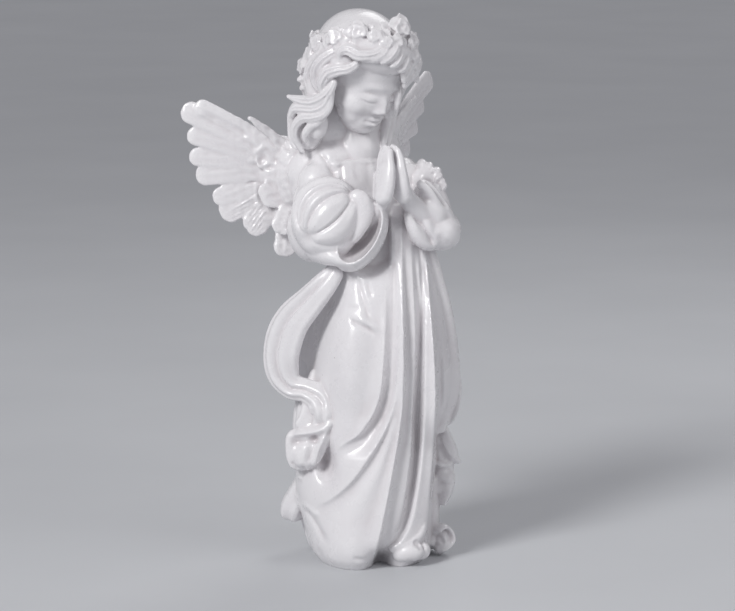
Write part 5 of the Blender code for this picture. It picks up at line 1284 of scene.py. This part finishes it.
def wreath():
    out = []
    for k in range(VINE_PIECES):
        start = 2 * math.pi * k / VINE_PIECES
        out.append(limb([on_wreath(start + j * 0.14, 26.5) for j in range(4)], 3.6, around=12, along=10))
    return out + seen_wreath() + hidden_wreath()


# the whole figure
def build():
    """All the groups of forms grown together into one skin."""
    coarse, fine = CLAY * 0.8, CLAY * 0.7
    head = fused([head_ball(*form) for form in HEAD_FORMS], coarse, 40)
    carve_face(head)
    torso = fused(torso_masses(), coarse, 60)
    carve_bodice(torso)
    sleeve = fused(left_sleeve(), coarse, 40)
    engrave(sleeve, LEFT_SLEEVE_LINES)
    hems = fused(robe_extras(), coarse, 5)
    engrave(hems, HEM_LINES)
    band = fused(scarf(), coarse, 4)
    engrave(band, SCARF_LINES, -8.0)
    pinions = fused(wings(), coarse, 3)
    engrave(pinions, WING_LINES)
    uneven(pinions)
    return fused([
        fused([robe()], coarse, 1),
        hems,
        band,
        head,
        torso,
        fused(forearms() + hand(-1) + hand(1), fine, 5),
        fused(right_sleeve(), coarse, 3),
        sleeve,
        fused(frill(), coarse, 1),
        pinions,
        fused(hair(), fine),
        fused(wreath(), CLAY * 0.6),
    ], CLAY, 1)


def largest_shell(mesh):
    """The outer skin alone, without loose crumbs or bubbles."""
    bm = bmesh.new()
    bm.from_mesh(mesh)
    bm.verts.ensure_lookup_table()
    reached = np.zeros(len(bm.verts), bool)
    shells = []
    for start in bm.verts:
        if reached[start.index]:
            continue
        shell = [start]
        reached[start.index] = True
        for vert in shell:
            for edge in vert.link_edges:
                other = edge.other_vert(vert)
                if not reached[other.index]:
                    reached[other.index] = True
                    shell.append(other)
        shells.append(shell)
    shells.sort(key=len, reverse=True)
    for shell in shells[1:]:
        bmesh.ops.delete(bm, geom=shell, context="VERTS")
    bm.to_mesh(mesh)
    bm.free()
    return mesh


def cut_flat(mesh):
    """The underside cut level at height 0 and closed."""
    bm = bmesh.new()
    bm.from_mesh(mesh)
    geometry = bm.verts[:] + bm.edges[:] + bm.faces[:]
    bmesh.ops.bisect_plane(bm, geom=geometry, dist=1e-4, plane_co=(0, 0, 0), plane_no=(0, 0, 1),
                           clear_inner=True)
    rim = [edge for edge in bm.edges if edge.is_boundary]
    bmesh.ops.holes_fill(bm, edges=rim, sides=0)
    bmesh.ops.triangulate(bm, faces=[f for f in bm.faces if len(f.verts) > 4])
    bm.to_mesh(mesh)
    bm.free()
    return mesh


def thinned(mesh, count):
    """The skin reduced to about the given number of triangles, its underside kept level."""
    triangles = sum(len(face.vertices) - 2 for face in mesh.polygons)
    if triangles > count:
        settings = dict(ratio=count / triangles, use_collapse_triangulate=True)
        mesh = evaluated(mesh, [("DECIMATE", settings)])
    points = points_of(mesh)
    points[points[:, 2] < LEVEL_BAND, 2] = 0.0
    set_points(mesh, points)
    return mesh


# depth of the carving, kept on the skin for the finish
def hollows(mesh, passes):
    """How far each point lies below (above zero) or above the softened skin, in millimetres."""
    soft = evaluated(mesh.copy(), [("SMOOTH", dict(factor=SOFTENING, iterations=passes))])
    depth = np.sum((points_of(soft) - points_of(mesh)) * normals_of(mesh), axis=1)
    bpy.data.meshes.remove(soft)
    return depth


def keep_on_skin(mesh, name, values):
    layer = mesh.attributes.new(name, "FLOAT", "POINT")
    layer.data.foreach_set("value", values.astype(np.float32))


NARROW_PASSES, BROAD_PASSES = 5, 45       # softening that leaves out narrow or broad carving
NARROW = 0.22                             # depth at which narrow carving counts in full, mm
BROAD_HOLLOW, BROAD_EDGE = 1.5, 1.6       # the same for broad carving


def mark_carving(mesh):
    """Attributes for the finish: recess in the hollows, where shade is painted, and crest along the
    raised edges, where highlight is painted.
    """
    narrow = hollows(mesh, NARROW_PASSES)
    broad = hollows(mesh, BROAD_PASSES)
    recess = np.clip(narrow / NARROW, 0, 1) * 0.5 + np.clip(broad / BROAD_HOLLOW, 0, 1) * 0.7
    crest = np.clip(-narrow / NARROW, 0, 1) * 0.7 + np.clip(-broad / BROAD_EDGE, 0, 1) * 0.4
    keep_on_skin(mesh, "recess", np.clip(recess, 0, 1))
    keep_on_skin(mesh, "crest", np.clip(crest, 0, 1))


def figure():
    whole = largest_shell(thinned(cut_flat(build()), FACET_COUNT))
    mark_carving(whole)
    whole.transform(Matrix.Scale(MM, 4) @ Matrix.Rotation(math.radians(-TURN), 4, "Z"))
    whole.name = "angel_skin"
    whole.shade_smooth()
    return whole


# finish
LACQUER = (0.80, 0.785, 0.80, 1.0)
LACQUER_CLOUD = (0.755, 0.735, 0.755, 1.0)
# painted shade: the tone the hollows are greyed towards
PAINTED_SHADE_TONE = (0.50, 0.445, 0.46, 1.0)
# painted highlight: the tone the raised edges are lightened towards
PAINTED_HIGHLIGHT_TONE = (0.86, 0.85, 0.86, 1.0)
PINHOLE_TONE = (0.30, 0.27, 0.27, 1.0)
GLOSS, MATT = 0.21, 0.36
COAT, COAT_ROUGHNESS = 0.35, 0.12
# Unevenness of the finish: scale per metre, detail, roughness.
CLOUDS = (26.0, 3.0, 0.5)
BREAKUP = (240.0, 4.0, 0.6)
SHEEN = (75.0, 4.0, 0.6)
RIPPLE = (330.0, 2.0, 0.5)
GRAIN = (1500.0, 2.0, 0.5)
PINHOLES = 62.0       # scale of the cells that hold one each
GROUND_PATCHES = (5.0, 4.0, 0.5)
GROUND_GRAIN = (900.0, 2.0, 0.5)


class Finish:
    """A node material in the making, laid out in the object's own coordinates."""

    def __init__(self, name):
        self.material = bpy.data.materials.new(name)
        self.material.use_nodes = True
        self.tree = self.material.node_tree
        self.shader = self.tree.nodes["Principled BSDF"]
        self.place = self.add("ShaderNodeTexCoord", {}).outputs["Object"]

    def fill(self, node, inputs):
        """Set the inputs of a node: each is a plain value or what another node gives out."""
        for key, value in inputs.items():
            if isinstance(value, bpy.types.NodeSocket):
                self.tree.links.new(value, node.inputs[key])
            else:
                node.inputs[key].default_value = value

    def add(self, kind, inputs, **settings):
        made = self.tree.nodes.new(kind)
        for key, value in settings.items():
            setattr(made, key, value)
        self.fill(made, inputs)
        return made

    def noise(self, scale, detail, roughness):
        inputs = {"Vector": self.place, "Scale": scale, "Detail": detail, "Roughness": roughness}
        return self.add("ShaderNodeTexNoise", inputs).outputs["Fac"]

    def ranged(self, value, low, high, out_low=0.0, out_high=1.0):
        inputs = {"From Min": low, "From Max": high, "To Min": out_low, "To Max": out_high}
        return self.add("ShaderNodeMapRange", {"Value": value, **inputs}).outputs["Result"]

    def blended(self, share, first, second):
        inputs = {"Factor": share, "A": first, "B": second}
        return self.add("ShaderNodeMix", inputs, data_type="RGBA").outputs["Result"]

    def sum(self, kind, first, second):
        return self.add("ShaderNodeMath", {0: first, 1: second}, operation=kind).outputs["Value"]

    def carved(self, name):
        return self.add("ShaderNodeAttribute", {}, attribute_name=name).outputs["Fac"]

    def bump(self, height, strength, distance, under=None):
        inputs = {"Strength": strength, "Distance": distance, "Height": height}
        if under is not None:
            inputs["Normal"] = under
        return self.add("ShaderNodeBump", inputs).outputs["Normal"]


def white_lacquer():
    """Sprayed lacquer: slightly cloudy, duller in the hollows, with painted shade that greys the hollows
    and painted highlight that lightens the raised edges.
    """
    finish = Finish("white_lacquer")
    recess = finish.carved("recess")
    crest = finish.carved("crest")
    cloud = finish.ranged(finish.noise(*CLOUDS), 0.35, 0.7)
    breakup = finish.noise(*BREAKUP)
    colour = finish.blended(cloud, LACQUER, LACQUER_CLOUD)
    # painted shade: the hollows, broken up by noise, are darkened in the colour and also made duller
    painted_shade = finish.sum("MULTIPLY", recess, finish.ranged(breakup, 0.25, 0.7, 0.45, 1.0))
    colour = finish.blended(finish.sum("MULTIPLY", painted_shade, 0.62), colour, PAINTED_SHADE_TONE)
    # painted highlight: the raised edges, broken up by noise, are lightened in the colour
    painted_highlight = finish.sum("MULTIPLY", crest, finish.ranged(breakup, 0.35, 0.65, 0.1, 0.6))
    colour = finish.blended(painted_highlight, colour, PAINTED_HIGHLIGHT_TONE)
    cells = finish.add("ShaderNodeTexVoronoi", {"Vector": finish.place, "Scale": PINHOLES})
    pinhole = finish.ranged(cells.outputs["Distance"], 0.012, 0.03, 0.7, 0.0)
    colour = finish.blended(pinhole, colour, PINHOLE_TONE)

    sheen = finish.ranged(finish.noise(*SHEEN), 0.3, 0.7, GLOSS, MATT)
    duller = finish.sum("MULTIPLY", painted_shade, 0.22)
    ripple = finish.bump(finish.noise(*RIPPLE), 0.16, 0.00035)
    grain = finish.bump(finish.noise(*GRAIN), 0.10, 0.0001, ripple)
    sunk = finish.bump(finish.sum("MULTIPLY", pinhole, -1.0), 0.6, 0.0003, grain)
    finish.fill(finish.shader, {
        "Base Color": colour,
        "Roughness": finish.sum("ADD", sheen, duller),
        "Normal": sunk,
        "Coat Weight": COAT,
        "Coat Roughness": COAT_ROUGHNESS,
    })
    return finish.material


def pale_ground():
    finish = Finish("pale_ground")
    cloud = finish.ranged(finish.noise(*GROUND_PATCHES), 0.3, 0.7)
    finish.fill(finish.shader, {
        "Base Color": finish.blended(cloud, GROUND_TONE, GROUND_CLOUD),
        "Normal": finish.bump(finish.noise(*GROUND_GRAIN), 0.1, 0.0001),
        "Roughness": GROUND_ROUGHNESS,
    })
    return finish.material


# studio
GROUND_TONE = (0.62, 0.63, 0.65, 1.0)
GROUND_CLOUD = (0.59, 0.60, 0.62, 1.0)
GROUND_ROUGHNESS = 0.7
GROUND_REACH = 6.0            # from the middle to each side, m
SKY = (0.69, 0.69, 0.74, 1.0)
SKY_STRENGTH = 0.34
LENS, SENSOR = 180.0, 36.0    # mm
LAMPS = [  # to the right of the view, up, towards the camera, power, size
    ("key", -0.72, 0.56, 1.00, 6.5, 0.40),
    ("fill", 0.95, 0.50, 0.70, 3.4, 0.90),
    ("rim", 0.35, 1.10, -0.80, 3.0, 0.60),
]
DAY = (-0.66, 0.66, 0.95)     # where the broad soft light comes from, in the same three directions
DAY_STRENGTH = 1.0
DAY_WIDTH = 16.0              # degrees


def turned(point):
    """A point of the three-quarter view in the finished part's place, in metres."""
    return Matrix.Rotation(math.radians(-TURN), 4, "Z") @ (Vector(point) * MM)


def aimed(thing, place, target):
    thing.location = place
    thing.rotation_euler = (target - place).to_track_quat("-Z", "Y").to_euler()
    bpy.context.scene.collection.objects.link(thing)
    return thing


def camera():
    lens = bpy.data.cameras.new("three_quarter_view")
    lens.lens = LENS
    lens.sensor_width = SENSOR
    eye = aimed(bpy.data.objects.new("three_quarter_view", lens), turned(EYE), turned(VIEW_AIM))
    bpy.context.scene.camera = eye
    return eye


def lamps(eye):
    target = turned(VIEW_AIM)
    back = (eye.location - target).normalized()
    right = Vector((0, 0, 1)).cross(back).normalized()

    def placed(lamp, aside, up, ahead):
        place = target + right * aside + Vector((0, 0, up)) + back * ahead
        aimed(bpy.data.objects.new(lamp.name, lamp), place, target)

    for name, aside, up, ahead, power, size in LAMPS:
        area = bpy.data.lights.new(name, "AREA")
        area.energy = power
        area.size = size
        placed(area, aside, up, ahead)
    day = bpy.data.lights.new("day", "SUN")
    day.energy = DAY_STRENGTH
    day.angle = math.radians(DAY_WIDTH)
    placed(day, *DAY)


def sky():
    bpy.context.scene.view_settings.view_transform = "Standard"
    world = bpy.data.worlds.new("studio")
    bpy.context.scene.world = world
    world.use_nodes = True
    background = world.node_tree.nodes["Background"]
    background.inputs["Color"].default_value = SKY
    background.inputs["Strength"].default_value = SKY_STRENGTH


def ground():
    bm = bmesh.new()
    bmesh.ops.create_grid(bm, x_segments=2, y_segments=2, size=GROUND_REACH)
    mesh = bpy.data.meshes.new("ground")
    bm.to_mesh(mesh)
    bm.free()
    mesh.materials.append(pale_ground())
    floor = bpy.data.objects.new("ground", mesh)
    bpy.context.scene.collection.objects.link(floor)


def dress():
    mesh = figure()
    mesh.materials.clear()
    mesh.materials.append(white_lacquer())
    angel = bpy.data.objects.new("angel", mesh)
    bpy.context.scene.collection.objects.link(angel)
    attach(angel, "root")
    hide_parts(NODE)


dress()
ground()
sky()
lamps(camera())
